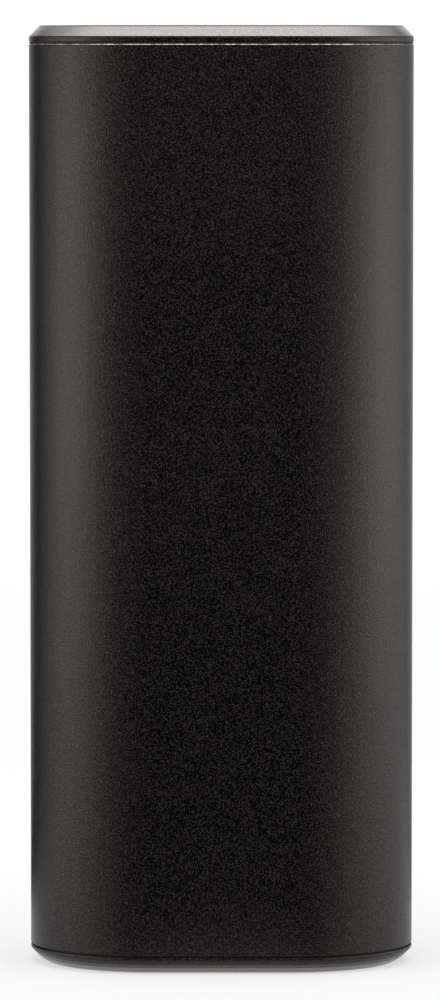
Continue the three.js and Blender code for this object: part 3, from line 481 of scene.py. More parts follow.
def leave_edit_mode() -> None:
    """Goes back to object mode."""
    if bpy.context.mode != "OBJECT":
        bpy.ops.object.mode_set(mode="OBJECT")


def clear_selection() -> None:
    """Leaves edit mode with no object selected."""
    leave_edit_mode()
    bpy.ops.object.select_all(action="DESELECT")


def select_only(shape: bpy.types.Object) -> None:
    """Selects one object and makes it the active one.

    Args:
        shape: The object.
    """
    clear_selection()
    shape.select_set(True)
    bpy.context.view_layer.objects.active = shape


def edit(shape: bpy.types.Object) -> None:
    """Opens one object in edit mode, by vertices, with nothing selected.

    Args:
        shape: The object.
    """
    select_only(shape)
    bpy.ops.object.mode_set(mode="EDIT")
    bpy.ops.mesh.select_mode(type="VERT")
    bpy.ops.mesh.select_all(action="DESELECT")


def choose(test: Callable[[Vector], bool], among: Sequence[int] | None = None) -> list[int]:
    """Selects vertices in edit mode by their place.

    Args:
        test: Says of a vertex's place whether it is wanted.
        among: The only vertices to look at, by number, or None for all.

    Returns:
        The numbers of the selected vertices.
    """
    bpy.ops.mesh.select_all(action="DESELECT")
    data = bpy.context.edit_object.data
    mesh = bmesh.from_edit_mesh(data)
    mesh.verts.ensure_lookup_table()
    numbers = range(len(mesh.verts)) if among is None else among
    chosen = [number for number in numbers if test(mesh.verts[number].co)]
    for number in chosen:
        mesh.verts[number].select = True
    mesh.select_flush_mode()
    bmesh.update_edit_mesh(data)
    return chosen


def chosen_vertices() -> list[int]:
    """Lists the vertices that are selected in edit mode.

    Returns:
        Their numbers.
    """
    mesh = bmesh.from_edit_mesh(bpy.context.edit_object.data)
    mesh.verts.index_update()
    return [vertex.index for vertex in mesh.verts if vertex.select]


def take_new(name: str) -> bpy.types.Object:
    """Names the object just added, and settles its place in its mesh.

    Args:
        name: The name that it and its mesh get.

    Returns:
        The object.
    """
    shape = bpy.context.active_object
    shape.name = name
    shape.data.name = name
    bpy.ops.object.transform_apply(location=True, rotation=True, scale=True)
    return shape


def start_ring(
    name: str, sides: int, radius: float, centre: Place, turn: float = 0.0
) -> bpy.types.Object:
    """Adds a flat ring as a new object, and leaves it selected in edit mode.

    Args:
        name: The new object's name.
        sides: How many sides the ring has.
        radius: Its radius.
        centre: Its middle.
        turn: How far it is turned about its middle, in radians.

    Returns:
        The new object.
    """
    clear_selection()
    bpy.ops.mesh.primitive_circle_add(
        vertices=sides, radius=radius, fill_type="NOTHING", location=centre, rotation=(0, 0, turn)
    )
    shape = take_new(name)
    edit(shape)
    bpy.ops.mesh.select_all(action="SELECT")
    return shape


@dataclass(frozen=True)
class RoundSection:
    """A circle about an upright axis. Its stations give the radius."""

    x: float = 0.0
    y: float = 0.0
    sides: int = MIDDLE_ROUND

    def add_ring(self, name: str, offset: float, height: float) -> None:
        """Adds the first ring and leaves it selected in edit mode.

        Args:
            name: The new object's name.
            offset: The ring's radius.
            height: The ring's height.
        """
        start_ring(name, self.sides, offset, (self.x, self.y, height))

    def reshape(self, old: float, new: float, height: float) -> None:
        """Turns the selected ring's radius from an old into a new one."""
        share = new / old
        bpy.ops.transform.resize(value=(share, share, 1.0), center_override=(self.x, self.y, height))


@dataclass(frozen=True)
class OvalSection:
    """The body's section: flat in front and behind, with a half ellipse on each side.

    Its stations give how far the outline is drawn in.
    """

    half_width: float
    half_depth: float
    flat_half: float
    sides: int = 192

    def radii(self, inset: float) -> tuple[float, float]:
        """Gives the side ellipses' radii, across and deep, for an inset."""
        return self.half_width - self.flat_half - inset, self.half_depth - inset

    def share(self, place: Vector) -> float:
        """Gives how far out a place lies, from 0 at the middle to 1 on the outline."""
        across, deep = self.radii(0.0)
        return math.hypot(max(abs(place.x) - self.flat_half, 0.0) / across, place.y / deep)

    def add_ring(self, name: str, offset: float, height: float) -> None:
        """Adds the first ring and leaves it selected in edit mode.

        Args:
            name: The new object's name.
            offset: How far the ring is drawn in.
            height: The ring's height.
        """
        start_ring(name, self.sides, 1.0, (0, 0, height), math.pi / self.sides)
        across, deep = self.radii(offset)
        bpy.ops.transform.resize(value=(across, deep, 1.0), center_override=(0, 0, height))
        for side in BOTH_SIDES:
            choose(lambda place: place.x * side > 0)
            bpy.ops.transform.translate(value=(side * self.flat_half, 0, 0))
        bpy.ops.mesh.select_all(action="SELECT")

    def reshape(self, old: float, new: float, height: float) -> None:
        """Draws the selected ring in or out, each side about its own ellipse's middle.

        Args:
            old: The inset that the ring has.
            new: The inset that it gets.
            height: The ring's height.
        """
        ring = chosen_vertices()
        old_across, old_deep = self.radii(old)
        across, deep = self.radii(new)
        for side in BOTH_SIDES:
            choose(lambda place: place.x * side > 0, ring)
            bpy.ops.transform.resize(
                value=(across / old_across, deep / old_deep, 1.0),
                center_override=(side * self.flat_half, 0, height),
            )
        choose(lambda place: True, ring)


def rounded(stations: Sequence[Station], radius: float, steps: int = 2) -> list[Station]:
    """Takes each inner corner of a line of stations round.

    Args:
        stations: The line's points.
        radius: How far from the corner the rounding starts.
        steps: How many straight steps a rounding has.

    Returns:
        The stations with their corners rounded.
    """
    result = [stations[0]]
    for before, corner, after in zip(stations, stations[1:], stations[2:]):
        ends = []
        for other in (before, after):
            run = math.dist(corner, other)
            share = min(radius, run * HALF_RUN) / run
            ends.append(tuple(c + (o - c) * share for c, o in zip(corner, other)))
        for step in range(steps + 1):
            t = step / steps
            shares = ((1 - t) ** 2, 2 * t * (1 - t), t ** 2)
            points = (ends[0], corner, ends[1])
            result.append(tuple(sum(s * p[axis] for s, p in zip(shares, points)) for axis in (0, 1)))
    return [*result, stations[-1]]


def draw_rings(
    name: str, section: RoundSection | OvalSection, stations: Sequence[Station], endless: bool = False
) -> bpy.types.Object:
    """Draws a closed shape ring by ring, each one extruded from the last.

    Args:
        name: The new object's name.
        section: The outline of every ring.
        stations: Each ring's offset and height.
        endless: True where the last ring meets the first, and False where both ends are filled.

    Returns:
        The new object.
    """
    offset, height = stations[0]
    section.add_ring(name, offset, height)
    for new_offset, new_height in stations[1:]:
        rise = (0, 0, new_height - height)
        bpy.ops.mesh.extrude_edges_move(TRANSFORM_OT_translate={"value": rise})
        if new_offset != offset:
            section.reshape(offset, new_offset, new_height)
        offset, height = new_offset, new_height
    bpy.ops.mesh.select_all(action="SELECT")
    if endless:
        bpy.ops.mesh.remove_doubles(threshold=SAME_PLACE)
    else:
        bpy.ops.mesh.fill_holes(sides=0)
    bpy.ops.mesh.select_all(action="SELECT")
    bpy.ops.mesh.normals_make_consistent(inside=False)
    leave_edit_mode()
    return bpy.context.active_object


def draw_bar(name: str, radius: float, place: Place, length: float) -> bpy.types.Object:
    """Draws an upright round bar that starts at a place.

    Args:
        name: The new object's name.
        radius: The bar's radius.
        place: The middle of its foot.
        length: Its length upwards.

    Returns:
        The new object.
    """
    x, y, foot = place
    return draw_rings(name, RoundSection(x, y, SMALL_ROUND), [(radius, foot), (radius, foot + length)])


def draw_block(
    name: str, low: Place, high: Place, corner: float = 0.0, edge: float = 0.0
) -> bpy.types.Object:
    """Draws a block between two corners, with its upright edges rounded.

    Args:
        name: The new object's name.
        low: The lowest corner.
        high: The highest corner.
        corner: The radius of the upright edges.
        edge: The radius of all the other edges.

    Returns:
        The new object.
    """
    clear_selection()
    centre = tuple((a + b) / 2 for a, b in zip(low, high))
    size = tuple(b - a for a, b in zip(low, high))
    bpy.ops.mesh.primitive_cube_add(size=1.0, location=centre, scale=size)
    shape = take_new(name)
    if corner > 0:
        bevel_edges(shape, lambda run, middle: abs(run.z) > UPRIGHT, corner, CORNER_STEPS)
    if edge > 0:
        edit(shape)
        bpy.ops.mesh.select_mode(type="EDGE")
        bpy.ops.mesh.edges_select_sharp(sharpness=SMOOTH_ANGLE)
        bpy.ops.mesh.bevel(offset=edge, segments=EDGE_STEPS, affect="EDGES")
        leave_edit_mode()
    return shape


def bevel_edges(
    shape: bpy.types.Object, test: Callable[[Vector, Vector], bool], offset: float, steps: int
) -> None:
    """Bevels some edges of a shape.

    Args:
        shape: The shape to change.
        test: Says of an edge's unit direction and middle whether it is wanted.
        offset: The bevel's width.
        steps: How many faces the bevel has.
    """
    edit(shape)
    bpy.ops.mesh.select_mode(type="EDGE")
    mesh = bmesh.from_edit_mesh(shape.data)
    for line in mesh.edges:
        first, second = line.verts
        line.select = test((second.co - first.co).normalized(), (first.co + second.co) / 2)
    mesh.select_flush_mode()
    bmesh.update_edit_mesh(shape.data)
    bpy.ops.mesh.bevel(offset=offset, segments=steps, affect="EDGES")
    leave_edit_mode()


def combine(shape: bpy.types.Object, others: Iterable[bpy.types.Object], joining: Joining) -> None:
    """Adds other shapes to one, or cuts them out of it, and removes them.

    Args:
        shape: The shape that stays.
        others: The shapes that go.
        joining: Whether they are added or cut out.
    """
    for other in others:
        select_only(shape)
        change = shape.modifiers.new(other.name, "BOOLEAN")
        change.operation = joining.value
        change.solver = "EXACT"
        change.object = other
        bpy.ops.object.modifier_apply(modifier=change.name)
        spare = other.data
        bpy.data.objects.remove(other)
        bpy.data.meshes.remove(spare)


def lay_along(shape: bpy.types.Object, axis: str, centre: Place, way: int = 1) -> bpy.types.Object:
    """Lays an upright shape down.

    Args:
        shape: The shape to turn.
        axis: The axis that it turns about, by its letter.
        centre: The point that stays where it is.
        way: 1 or -1, for the way that it turns.

    Returns:
        The same shape.
    """
    select_only(shape)
    bpy.ops.transform.rotate(value=way * QUARTER_TURN, orient_axis=axis, center_override=centre)
    return take_new(shape.name)


def gather(name: str, shapes: Sequence[bpy.types.Object]) -> bpy.types.Object:
    """Makes one object of several that stay separate shells.

    Args:
        name: The name of the whole.
        shapes: The objects, of which the first one stays.

    Returns:
        The whole.
    """
    clear_selection()
    for shape in shapes:
        shape.select_set(True)
    bpy.context.view_layer.objects.active = shapes[0]
    bpy.ops.object.join()
    whole = bpy.context.active_object
    whole.name = name
    whole.data.name = name
    return whole


def copy_across(shape: bpy.types.Object, name: str, shift: Place) -> bpy.types.Object:
    """Copies a shape with its own mesh, moved in its mesh.

    Args:
        shape: The shape to copy.
        name: The copy's name.
        shift: How far the copy is moved.

    Returns:
        The copy.
    """
    select_only(shape)
    bpy.ops.object.duplicate(linked=False)
    bpy.ops.transform.translate(value=shift)
    return take_new(name)


def paint(shape: bpy.types.Object, number: int, test: Callable[[Vector, Vector], bool]) -> None:
    """Gives some faces another of the shape's finishes.

    Args:
        shape: The shape to paint.
        number: Which of its finishes the faces get.
        test: Says of a face's middle and normal whether it is wanted.
    """
    for face in shape.data.polygons:
        if test(face.center, face.normal):
            face.material_index = number


def settle(
    shape: bpy.types.Object, slot: str, nodes: Sequence[str], extra: Sequence[Finish] = (),
    body: Body = Body.HOUSING,
) -> None:
    """Finishes a piece: smooth faces, its materials, the body it rides on and what it stands for.

    Args:
        shape: The finished mesh object.
        slot: The material slot that gives its main finish.
        nodes: The solids that it replaces.
        extra: More finishes, for faces painted with them.
        body: The body that carries it.
    """
    select_only(shape)
    bpy.ops.object.shade_smooth_by_angle(angle=SMOOTH_ANGLE)
    shape.data.materials.clear()
    for finish in (FINISHES[slot], *extra):
        shape.data.materials.append(finish.material())
    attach(shape, body.value)
    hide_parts(*nodes)
    LOG.info("%s: %d faces, for %s", shape.name, len(shape.data.polygons), ", ".join(nodes))


# The outer shell


@dataclass
class Shell:
    """The tube, both caps and the two seals between them.

    A reach is how far the tube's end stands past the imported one's, and a lip how far a cap's edge
    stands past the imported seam. A rim's corners each have their inset and their distance from the face.
    """

    flat_half: float = 0.0075
    wall: float = 0.0012
    end_bevel: float = 0.0001
    edge_round: float = 0.00004
    top_round: float = 0.00016
    bottom_round: float = 0.0004
    top_reach: float = 0.00002
    top_lip: float = 0.0001
    bottom_reach: float = -0.00014
    bottom_lip: float = 0.0003
    seam_bevel: float = 0.00005
    top_seal_inset: float = 0.00005
    bottom_seal_inset: float = 0.00025
    top_rim: tuple[Station, ...] = ((0.00122, 0.0), (0.0, 0.00122))
    bottom_rim: tuple[Station, ...] = (
        (0.0019, 0.0), (0.001, 0.00055), (0.0005, 0.00105), (0.0, 0.00155)
    )
    rim_round: float = 0.00018
    plate_margin: float = 0.00036
    skirt_inset: float = 0.0015
    skirt_wall: float = 0.001
    skirt_depth: float = 0.005

    def __post_init__(self) -> None:
        """Reads the outline and the seams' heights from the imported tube."""
        low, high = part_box("tube_shell")
        self.section = OvalSection(high.x, high.y, self.flat_half)
        self.tube_low = low.z
        self.tube_high = high.z
        self.cap_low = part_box("bottom_cap")[0].z
        self.cap_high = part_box("top_cap")[1].z
        self.top_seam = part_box("top_gasket")[1].z
        self.bottom_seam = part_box("bottom_gasket")[0].z

    def build(self) -> None:
        """Builds the tube, the seals and the caps."""
        self.build_tube()
        self.build_seals()

    def build_tube(self) -> None:
        """Builds the tube, with bare cut metal on the upward-facing faces of its upper end as a painted
        highlight; its lower end has the same bevels but keeps the dark finish.
        """
        bevel, wall = self.end_bevel, self.wall
        low, high = self.tube_low - self.bottom_reach, self.tube_high + self.top_reach
        corners = [
            (0.0, (low + high) / 2), (0.0, high - bevel), (bevel, high), (wall - bevel, high),
            (wall, high - bevel), (wall, low + bevel), (wall - bevel, low), (bevel, low),
            (0.0, low + bevel), (0.0, (low + high) / 2),
        ]
        tube = draw_rings("anodised_tube", self.section, rounded(corners, self.edge_round), endless=True)
        settle(tube, "anodised_aluminium", ["tube_shell"], [BARE_EDGE_AND_HIGHLIGHT])
        # Painted highlight: only the upward-facing faces get the bare metal
        paint(tube, 1, lambda place, normal: normal.z > BEVEL_SLOPE)

    def build_seals(self) -> None:
        """Builds the soft ring in each seam."""
        wall = self.wall
        bottom = self.bottom_seam + self.bottom_lip, self.tube_low - self.bottom_reach
        top = self.tube_high + self.top_reach, self.top_seam - self.top_lip
        for name, node, inset, (low, high) in (
            ("bottom_seal", "bottom_gasket", self.bottom_seal_inset, bottom),
            ("top_seal", "top_gasket", self.top_seal_inset, top),
        ):
            middle = (low + high) / 2
            corners = [
                (inset, middle), (inset, high), (wall, high), (wall, low), (inset, low), (inset, middle),
            ]
            ring = draw_rings(name, self.section, rounded(corners, self.edge_round), endless=True)
            settle(ring, "silicone", [node])

    def cap_blank(
        self, name: str, face: float, seam: float, rim: Sequence[Station], edge_round: float,
        lip: float = 0.0,
    ) -> bpy.types.Object:
        """Draws a cap's plate and skirt, before anything is added to it or cut out.

        Args:
            name: The cap's name.
            face: The height of its outer face.
            seam: The height of its plate's inner face.
            rim: The corners of its slanted rim.
            edge_round: How far from the rim's edges their rounding starts.
            lip: How far its edge at the seam stands past the plate's inner face.

        Returns:
            The cap's blank.
        """
        inward = math.copysign(1.0, seam - face)
        inner = self.skirt_inset + self.skirt_wall
        skirt_end = seam + inward * self.skirt_depth
        bevel = self.rim_round
        edge = seam + inward * lip
        outside = rounded([
            (rim[0][0] + self.plate_margin, face),
            *((inset, face + inward * depth) for inset, depth in rim),
            (0.0, edge - inward * self.seam_bevel), (self.seam_bevel, edge), (self.skirt_inset, edge),
        ], edge_round, CAP_STEPS)
        inside = [
            (self.skirt_inset, skirt_end - inward * bevel), (self.skirt_inset + bevel, skirt_end),
            (inner - bevel, skirt_end), (inner, skirt_end - inward * bevel), (inner, seam),
        ]
        return draw_rings(name, self.section, [*outside, *inside])

    def paint_rim(
        self, cap: bpy.types.Object, face: float, number: int, rows: tuple[float, float]
    ) -> None:
        """Gives some rows of a cap's slanted rim another finish.

        Args:
            cap: The cap to paint.
            face: The height of its outer face.
            number: Which of its finishes the rows get.
            rows: The least and greatest distance of the rows from the outer face.
        """
        def is_rim(place: Vector, normal: Vector) -> bool:
            """Says whether a face of the cap is in the rows."""
            outside = RIM_LOW < abs(normal.z) < RIM_HIGH and self.section.share(place) > RIM_SHARE
            return outside and rows[0] < abs(place.z - face) < rows[1]

        paint(cap, number, is_rim)


@dataclass
class TopCap:
    """The top cap's moulding, with the button's well, the lights' holes and what holds it down."""

    shell: Shell
    pin_gap: float = 0.0002
    button_gap: float = 0.0003
    guide_wall: float = 0.001
    guide_depth: float = 0.002
    boss_radius: float = 0.0019
    boss_x: float = 0.0154
    tab_half: float = 0.004
    tab_wall: float = 0.0016
    tab_root: float = 0.0012
    seat_radius: float = 0.0016
    seat_depth: float = 0.00115
    shank_radius: float = 0.001
    pilot_spare: float = 0.0008
    hole_flare: float = 0.00025
    overrun: float = 0.001
    bright_rows: tuple[float, float] = (0.0001, 0.00117)

    def build(self) -> None:
        """Builds the moulding and cuts its holes."""
        shell = self.shell
        cap = shell.cap_blank(
            "top_cap_moulding", shell.cap_high, shell.top_seam, shell.top_rim, shell.top_round,
            shell.top_lip,
        )
        combine(cap, self.inner_forms(), Joining.ADD)
        combine(cap, self.holes(), Joining.CUT)
        settle(cap, "cap_plastic", ["top_cap"], [BRIGHT_RIM])
        shell.paint_rim(cap, shell.cap_high, 1, self.bright_rows)

    def inner_forms(self) -> list[bpy.types.Object]:
        """Draws what stands under the plate: the button's guide, the bosses and the clip tabs.

        Returns:
            The shapes to add.
        """
        shell = self.shell
        seam = shell.top_seam
        inside = seam + self.hole_flare
        middle, collar = span("power_button", "x")
        guide_radius = collar + self.button_gap + self.guide_wall
        board_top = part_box("switch_board")[1].z
        tab_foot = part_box("top_cap")[0].z
        forms = [draw_bar(
            "guide", guide_radius, (middle, 0, seam - self.guide_depth), self.guide_depth + self.hole_flare,
        )]
        for side in BOTH_SIDES:
            place = (side * self.boss_x, 0, board_top)
            forms.append(draw_bar(f"boss_{side}", self.boss_radius, place, inside - board_top))
            outer = side * (shell.section.half_depth - shell.skirt_inset)
            inner = outer - side * self.tab_wall
            top = seam - shell.skirt_depth + self.tab_root
            forms.append(draw_block(
                f"tab_{side}", (-self.tab_half, min(outer, inner), tab_foot),
                (self.tab_half, max(outer, inner), top),
            ))
        return forms

    def holes(self) -> list[bpy.types.Object]:
        """Draws the cutters for the button's well, the four lights and the screws.

        Returns:
            The shapes to cut out.
        """
        shell = self.shell
        seam, face = shell.top_seam, shell.cap_high
        middle, collar = span("power_button", "x")
        well_radius = collar + self.button_gap
        button = PowerButton.radius + self.button_gap
        well = [
            (well_radius, seam - self.guide_depth - self.overrun), (well_radius, seam), (button, seam),
            (button, face - self.hole_flare), (button + self.hole_flare, face),
            (button + self.hole_flare, face + self.overrun),
        ]
        cutters = [draw_rings("well", RoundSection(middle, 0.0, LARGE_ROUND), well)]
        for number, x in enumerate(LightPipes.places()):
            radius = LightPipes.radius + self.pin_gap
            flare = self.pin_gap
            hole = [
                (radius, seam - self.overrun), (radius, face - flare), (radius + flare, face),
                (radius + flare, face + self.overrun),
            ]
            cutters.append(draw_rings(f"hole_{number}", RoundSection(x, 0.0, TINY_ROUND), hole))
        screw, _ = span("switch_board_screw_left", "x")
        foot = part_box("switch_board")[1].z - self.overrun
        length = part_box("switch_board_screw_left")[1].z + self.pilot_spare - foot
        pilot = draw_bar("left_pilot", self.shank_radius, (screw, 0, foot), length)
        cutters += [pilot, copy_across(pilot, "right_pilot", (-2 * screw, 0, 0))]
        for side, name in ((-1, "cap_clip_screw_front"), (1, "cap_clip_screw_rear")):
            height, _ = span(name, "z")
            face = side * (shell.section.half_depth - shell.skirt_inset)
            seat = [
                (self.shank_radius, -self.tab_wall - self.overrun), (self.shank_radius, -self.seat_depth),
                (self.seat_radius, -self.seat_depth), (self.seat_radius, self.overrun),
            ]
            hole = draw_rings(f"seat_{side}", RoundSection(0.0, face, SMALL_ROUND), [
                (radius, height + depth) for radius, depth in seat
            ])
            cutters.append(lay_along(hole, "X", (0, face, height), side))
        return cutters


@dataclass
class BottomCap:
    """The bottom cap's moulding, with its two openings, the screws' wells and the strap pocket."""

    shell: Shell
    gap: float = 0.0003
    corner: float = 0.0008
    screw_x: float = 0.016
    well_radius: float = 0.002
    well_depth: float = 0.00145
    hole_radius: float = 0.0012
    leg_radius: float = 0.0022
    leg_top: float = 0.00285
    pocket: tuple[float, float] = (0.0095, -0.0063)
    pocket_size: tuple[float, float] = (0.005, 0.0034)
    pocket_depth: float = 0.0032
    pocket_wall: float = 0.0009
    pin_gap: float = 0.0002
    overrun: float = 0.001
    bright_rows: tuple[float, float] = (0.00003, 0.0007)
    # The rows above the bright ones get a darker copy of the rim's finish, as painted shade
    painted_shade_rows: tuple[float, float] = (0.0007, 0.00105)

    def build(self) -> None:
        """Builds the moulding and cuts its openings."""
        shell = self.shell
        cap = shell.cap_blank(
            "bottom_cap_moulding", shell.cap_low, shell.bottom_seam, shell.bottom_rim,
            shell.bottom_round, shell.bottom_lip,
        )
        combine(cap, self.inner_forms(), Joining.ADD)
        combine(cap, self.openings(), Joining.CUT)
        settle(cap, "cap_plastic", ["bottom_cap"], [BRIGHT_RIM, PAINTED_SHADE_RIM])
        shell.paint_rim(cap, shell.cap_low, 1, self.bright_rows)
        # Painted shade: the darker copy of the rim's finish on the next rows up
        shell.paint_rim(cap, shell.cap_low, 2, self.painted_shade_rows)

    def pocket_block(self, name: str, grow: float, low: float, high: float) -> bpy.types.Object:
        """Draws the strap pocket's block, made larger all round.

        Args:
            name: The block's name.
            grow: How much larger it is on each side.
            low: Its foot's height.
            high: Its top's height.

        Returns:
            The block.
        """
        (x, y), (width, depth) = self.pocket, self.pocket_size
        across, deep = width / 2 + grow, depth / 2 + grow
        return draw_block(name, (x - across, y - deep, low), (x + across, y + deep, high), self.corner)

    def inner_forms(self) -> list[bpy.types.Object]:
        """Draws the walls of the strap pocket and the foot of each leg.

        Returns:
            The shapes to add.
        """
        seam = self.shell.bottom_seam
        inside = seam - self.gap
        top = self.pocket_depth + self.pocket_wall
        forms = [self.pocket_block("pocket_walls", self.pocket_wall, inside, top)]
        for side in BOTH_SIDES:
            place = (side * self.screw_x, 0, inside)
            forms.append(draw_bar(f"leg_{side}", self.leg_radius, place, self.leg_top - inside))
        return forms

    def openings(self) -> list[bpy.types.Object]:
        """Draws the cutters for the sockets, the strap pocket and the screws.

        Returns:
            The shapes to cut out.
        """
        low = -self.overrun
        through = self.shell.bottom_seam + self.overrun
        shapes = [self.pocket_block("pocket", 0.0, low, self.pocket_depth)]
        first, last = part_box("output_socket_shell")
        gap = self.gap
        shapes.append(draw_block(
            "output_opening", (first.x - gap, first.y - gap, low), (last.x + gap, last.y + gap, through),
            self.corner,
        ))
        shapes.append(charge_block("charge_opening", gap, low, through))
        for side in BOTH_SIDES:
            x = side * self.screw_x
            well = [
                (self.well_radius + self.gap, low), (self.well_radius + self.gap, 0.0),
                (self.well_radius, self.gap), (self.well_radius, self.well_depth),
                (self.hole_radius, self.well_depth), (self.hole_radius, self.leg_top + self.overrun),
            ]
            shapes.append(draw_rings(f"screw_well_{side}", RoundSection(x), well))
        return [*shapes, StrapPin().draw("pin_hole", self.pin_gap)]


def charge_block(name: str, grow: float, low: float, high: float) -> bpy.types.Object:
    """Draws a block with the charging socket's outline, whose front corners are cut off.

    Args:
        name: The block's name.
        grow: How much larger than the socket it is on each side.
        low: Its foot's height.
        high: Its top's height.

    Returns:
        The block.
    """
    first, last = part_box("charge_socket_shell")
    block = draw_block(name, (first.x - grow, first.y - grow, low), (last.x + grow, last.y + grow, high))
    bevel_edges(
        block, lambda run, middle: abs(run.z) > UPRIGHT and middle.y < first.y - grow + SAME_PLACE,
        CHARGE_SLOPE, 1,
    )
    return block


# What shows in the caps


@dataclass
class PowerButton:
    """The button: a dished cap with a raised power mark, on a post that presses the switch."""

    radius: float = 0.0042
    dish: float = 0.0002
    dish_share: float = 0.5
    rim: float = 0.0008
    post_radius: float = 0.0016
    post_bevel: float = 0.0002
    collar_gap: float = 0.0003
    collar_height: float = 0.0008
    rounding: float = 0.0003
    round_steps: int = 4
    mark_radius: float = 0.00125
    mark_width: float = 0.00028
    mark_height: float = 0.0001
    mark_gap: float = 0.0011

    def build(self) -> None:
        """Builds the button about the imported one's axis."""
        low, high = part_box("power_button")
        x, collar = span("power_button", "x")
        post = self.post_radius
        collar_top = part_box("top_gasket")[1].z - self.collar_gap
        collar_low = collar_top - self.collar_height
        floor = high.z - self.dish
        corners = [
            (post - self.post_bevel, low.z), (post, low.z), (post, collar_low), (collar, collar_low),
            (collar, collar_top), (self.radius, collar_top), (self.radius, high.z),
            (self.radius - self.rim, high.z), (self.radius * self.dish_share, floor),
            (self.post_bevel, floor),
        ]
        stations = rounded(corners, self.rounding, self.round_steps)
        button = draw_rings("round_button", RoundSection(x, 0.0, LARGE_ROUND), stations)
        combine(button, self.power_mark(x, floor), Joining.ADD)
        settle(button, "button_plastic", ["power_button"], body=Body.BUTTON)

    def power_mark(self, x: float, floor: float) -> list[bpy.types.Object]:
        """Draws the mark: a ring that is open at the back, with an upright bar in the opening.

        Args:
            x: The button's middle.
            floor: The height of the dish's floor.

        Returns:
            The mark's shapes.
        """
        half = self.mark_width / 2
        inner, outer = self.mark_radius - half, self.mark_radius + half
        foot, top = floor - self.mark_height, floor + self.mark_height
        loop = [(inner, foot), (outer, foot), (outer, top), (inner, top), (inner, foot)]
        ring = draw_rings("mark_ring", RoundSection(x), loop, endless=True)
        gap = self.mark_gap / 2
        opening = draw_block("mark_opening", (x - gap, 0, foot - half), (x + gap, outer + half, top + half))
        combine(ring, [opening], Joining.CUT)
        return [ring, draw_block("mark_bar", (x - half, gap / 2, foot), (x + half, outer + half, top))]


@dataclass
class LightPipes:
    """Clear pins with domed tips, one for each light, which stand on a bar under the top cap."""

    count: int = 4
    radius: float = 0.00075
    dome: float = 0.0002
    dome_shares: tuple[Station, ...] = ((1.0, 1.0), (0.85, 0.4), (0.5, 0.0))
    bar_lift: float = 0.0026
    bar_height: float = 0.0012
    bar_corner: float = 0.0003

    @staticmethod
    def places() -> list[float]:
        """Gives each pin's place along X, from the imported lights."""
        return [span(f"led_{number}", "x")[0] for number in range(1, LightPipes.count + 1)]

    def build(self) -> None:
        """Builds the pins and the bar as one piece."""
        low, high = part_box("light_guide")
        foot = low.z + self.bar_lift
        top = high.x, high.y, foot + self.bar_height
        bar = draw_block("light_pipes", (low.x, low.y, foot), top, self.bar_corner)
        tip = [(self.radius * across, high.z - self.dome * drop) for across, drop in self.dome_shares]
        pins = [
            draw_rings(f"pin_{number}", RoundSection(x, 0.0, TINY_ROUND), [(self.radius, low.z), *tip])
            for number, x in enumerate(self.places())
        ]
        combine(bar, pins, Joining.ADD)
        settle(bar, "clear_plastic", ["light_guide"])


@dataclass
class Sockets:
    """The output socket and the charging socket, each a steel can round a tongue with contacts."""

    output_wall: float = 0.0003
    output_block: float = 0.003
    charge_wall: float = 0.00025
    charge_block: float = 0.0012
    block_gap: float = 0.0001
    corner: float = 0.0005
    lip: float = 0.00008
    block_edge: float = 0.0001
    output_tongue: float = 0.00184
    charge_tongue: float = 0.0006

    def build(self) -> None:
        """Builds both cans and both tongues."""
        self.build_output()
        self.build_charge()

    def build_output(self) -> None:
        """Builds the larger socket."""
        low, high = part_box("output_socket_shell")
        wall = self.output_wall
        can = draw_block("output_can", tuple(low), tuple(high), self.corner, self.lip)
        inside = draw_block(
            "output_inside", (low.x + wall, low.y + wall, low.z - wall),
            (high.x - wall, high.y - wall, high.z - wall), self.corner - wall,
        )
        combine(can, [inside], Joining.CUT)
        settle(can, "steel", ["output_socket_shell"])
        low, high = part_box("output_socket_tongue")
        foot = low.x, low.y, high.z - self.output_block
        block = draw_block("output_tongue", foot, tuple(high), 0.0, self.block_edge)
        Tongue(
            node="output_socket_tongue", inset=0.0006, front=high.y - self.output_tongue, back=high.y,
            contacts=4, contact_width=0.001, contact_length=0.0075,
        ).build(block)

    def build_charge(self) -> None:
        """Builds the smaller socket."""
        low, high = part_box("charge_socket_shell")
        wall = self.charge_wall
        can = charge_block("charge_can", 0.0, low.z, high.z)
        inside = charge_block("charge_inside", -wall, low.z - wall, high.z - wall)
        combine(can, [inside], Joining.CUT)
        settle(can, "steel", ["charge_socket_shell"])
        middle, half = span("charge_socket_shell", "y")[0], self.charge_tongue / 2
        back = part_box("charge_socket_tongue")[1].z
        block = charge_block("charge_tongue", -wall - self.block_gap, back - self.charge_block, back)
        Tongue(
            node="charge_socket_tongue", inset=0.0014, front=middle - half, back=middle + half,
            contacts=5, contact_width=0.0004, contact_length=0.0024,
        ).build(block)


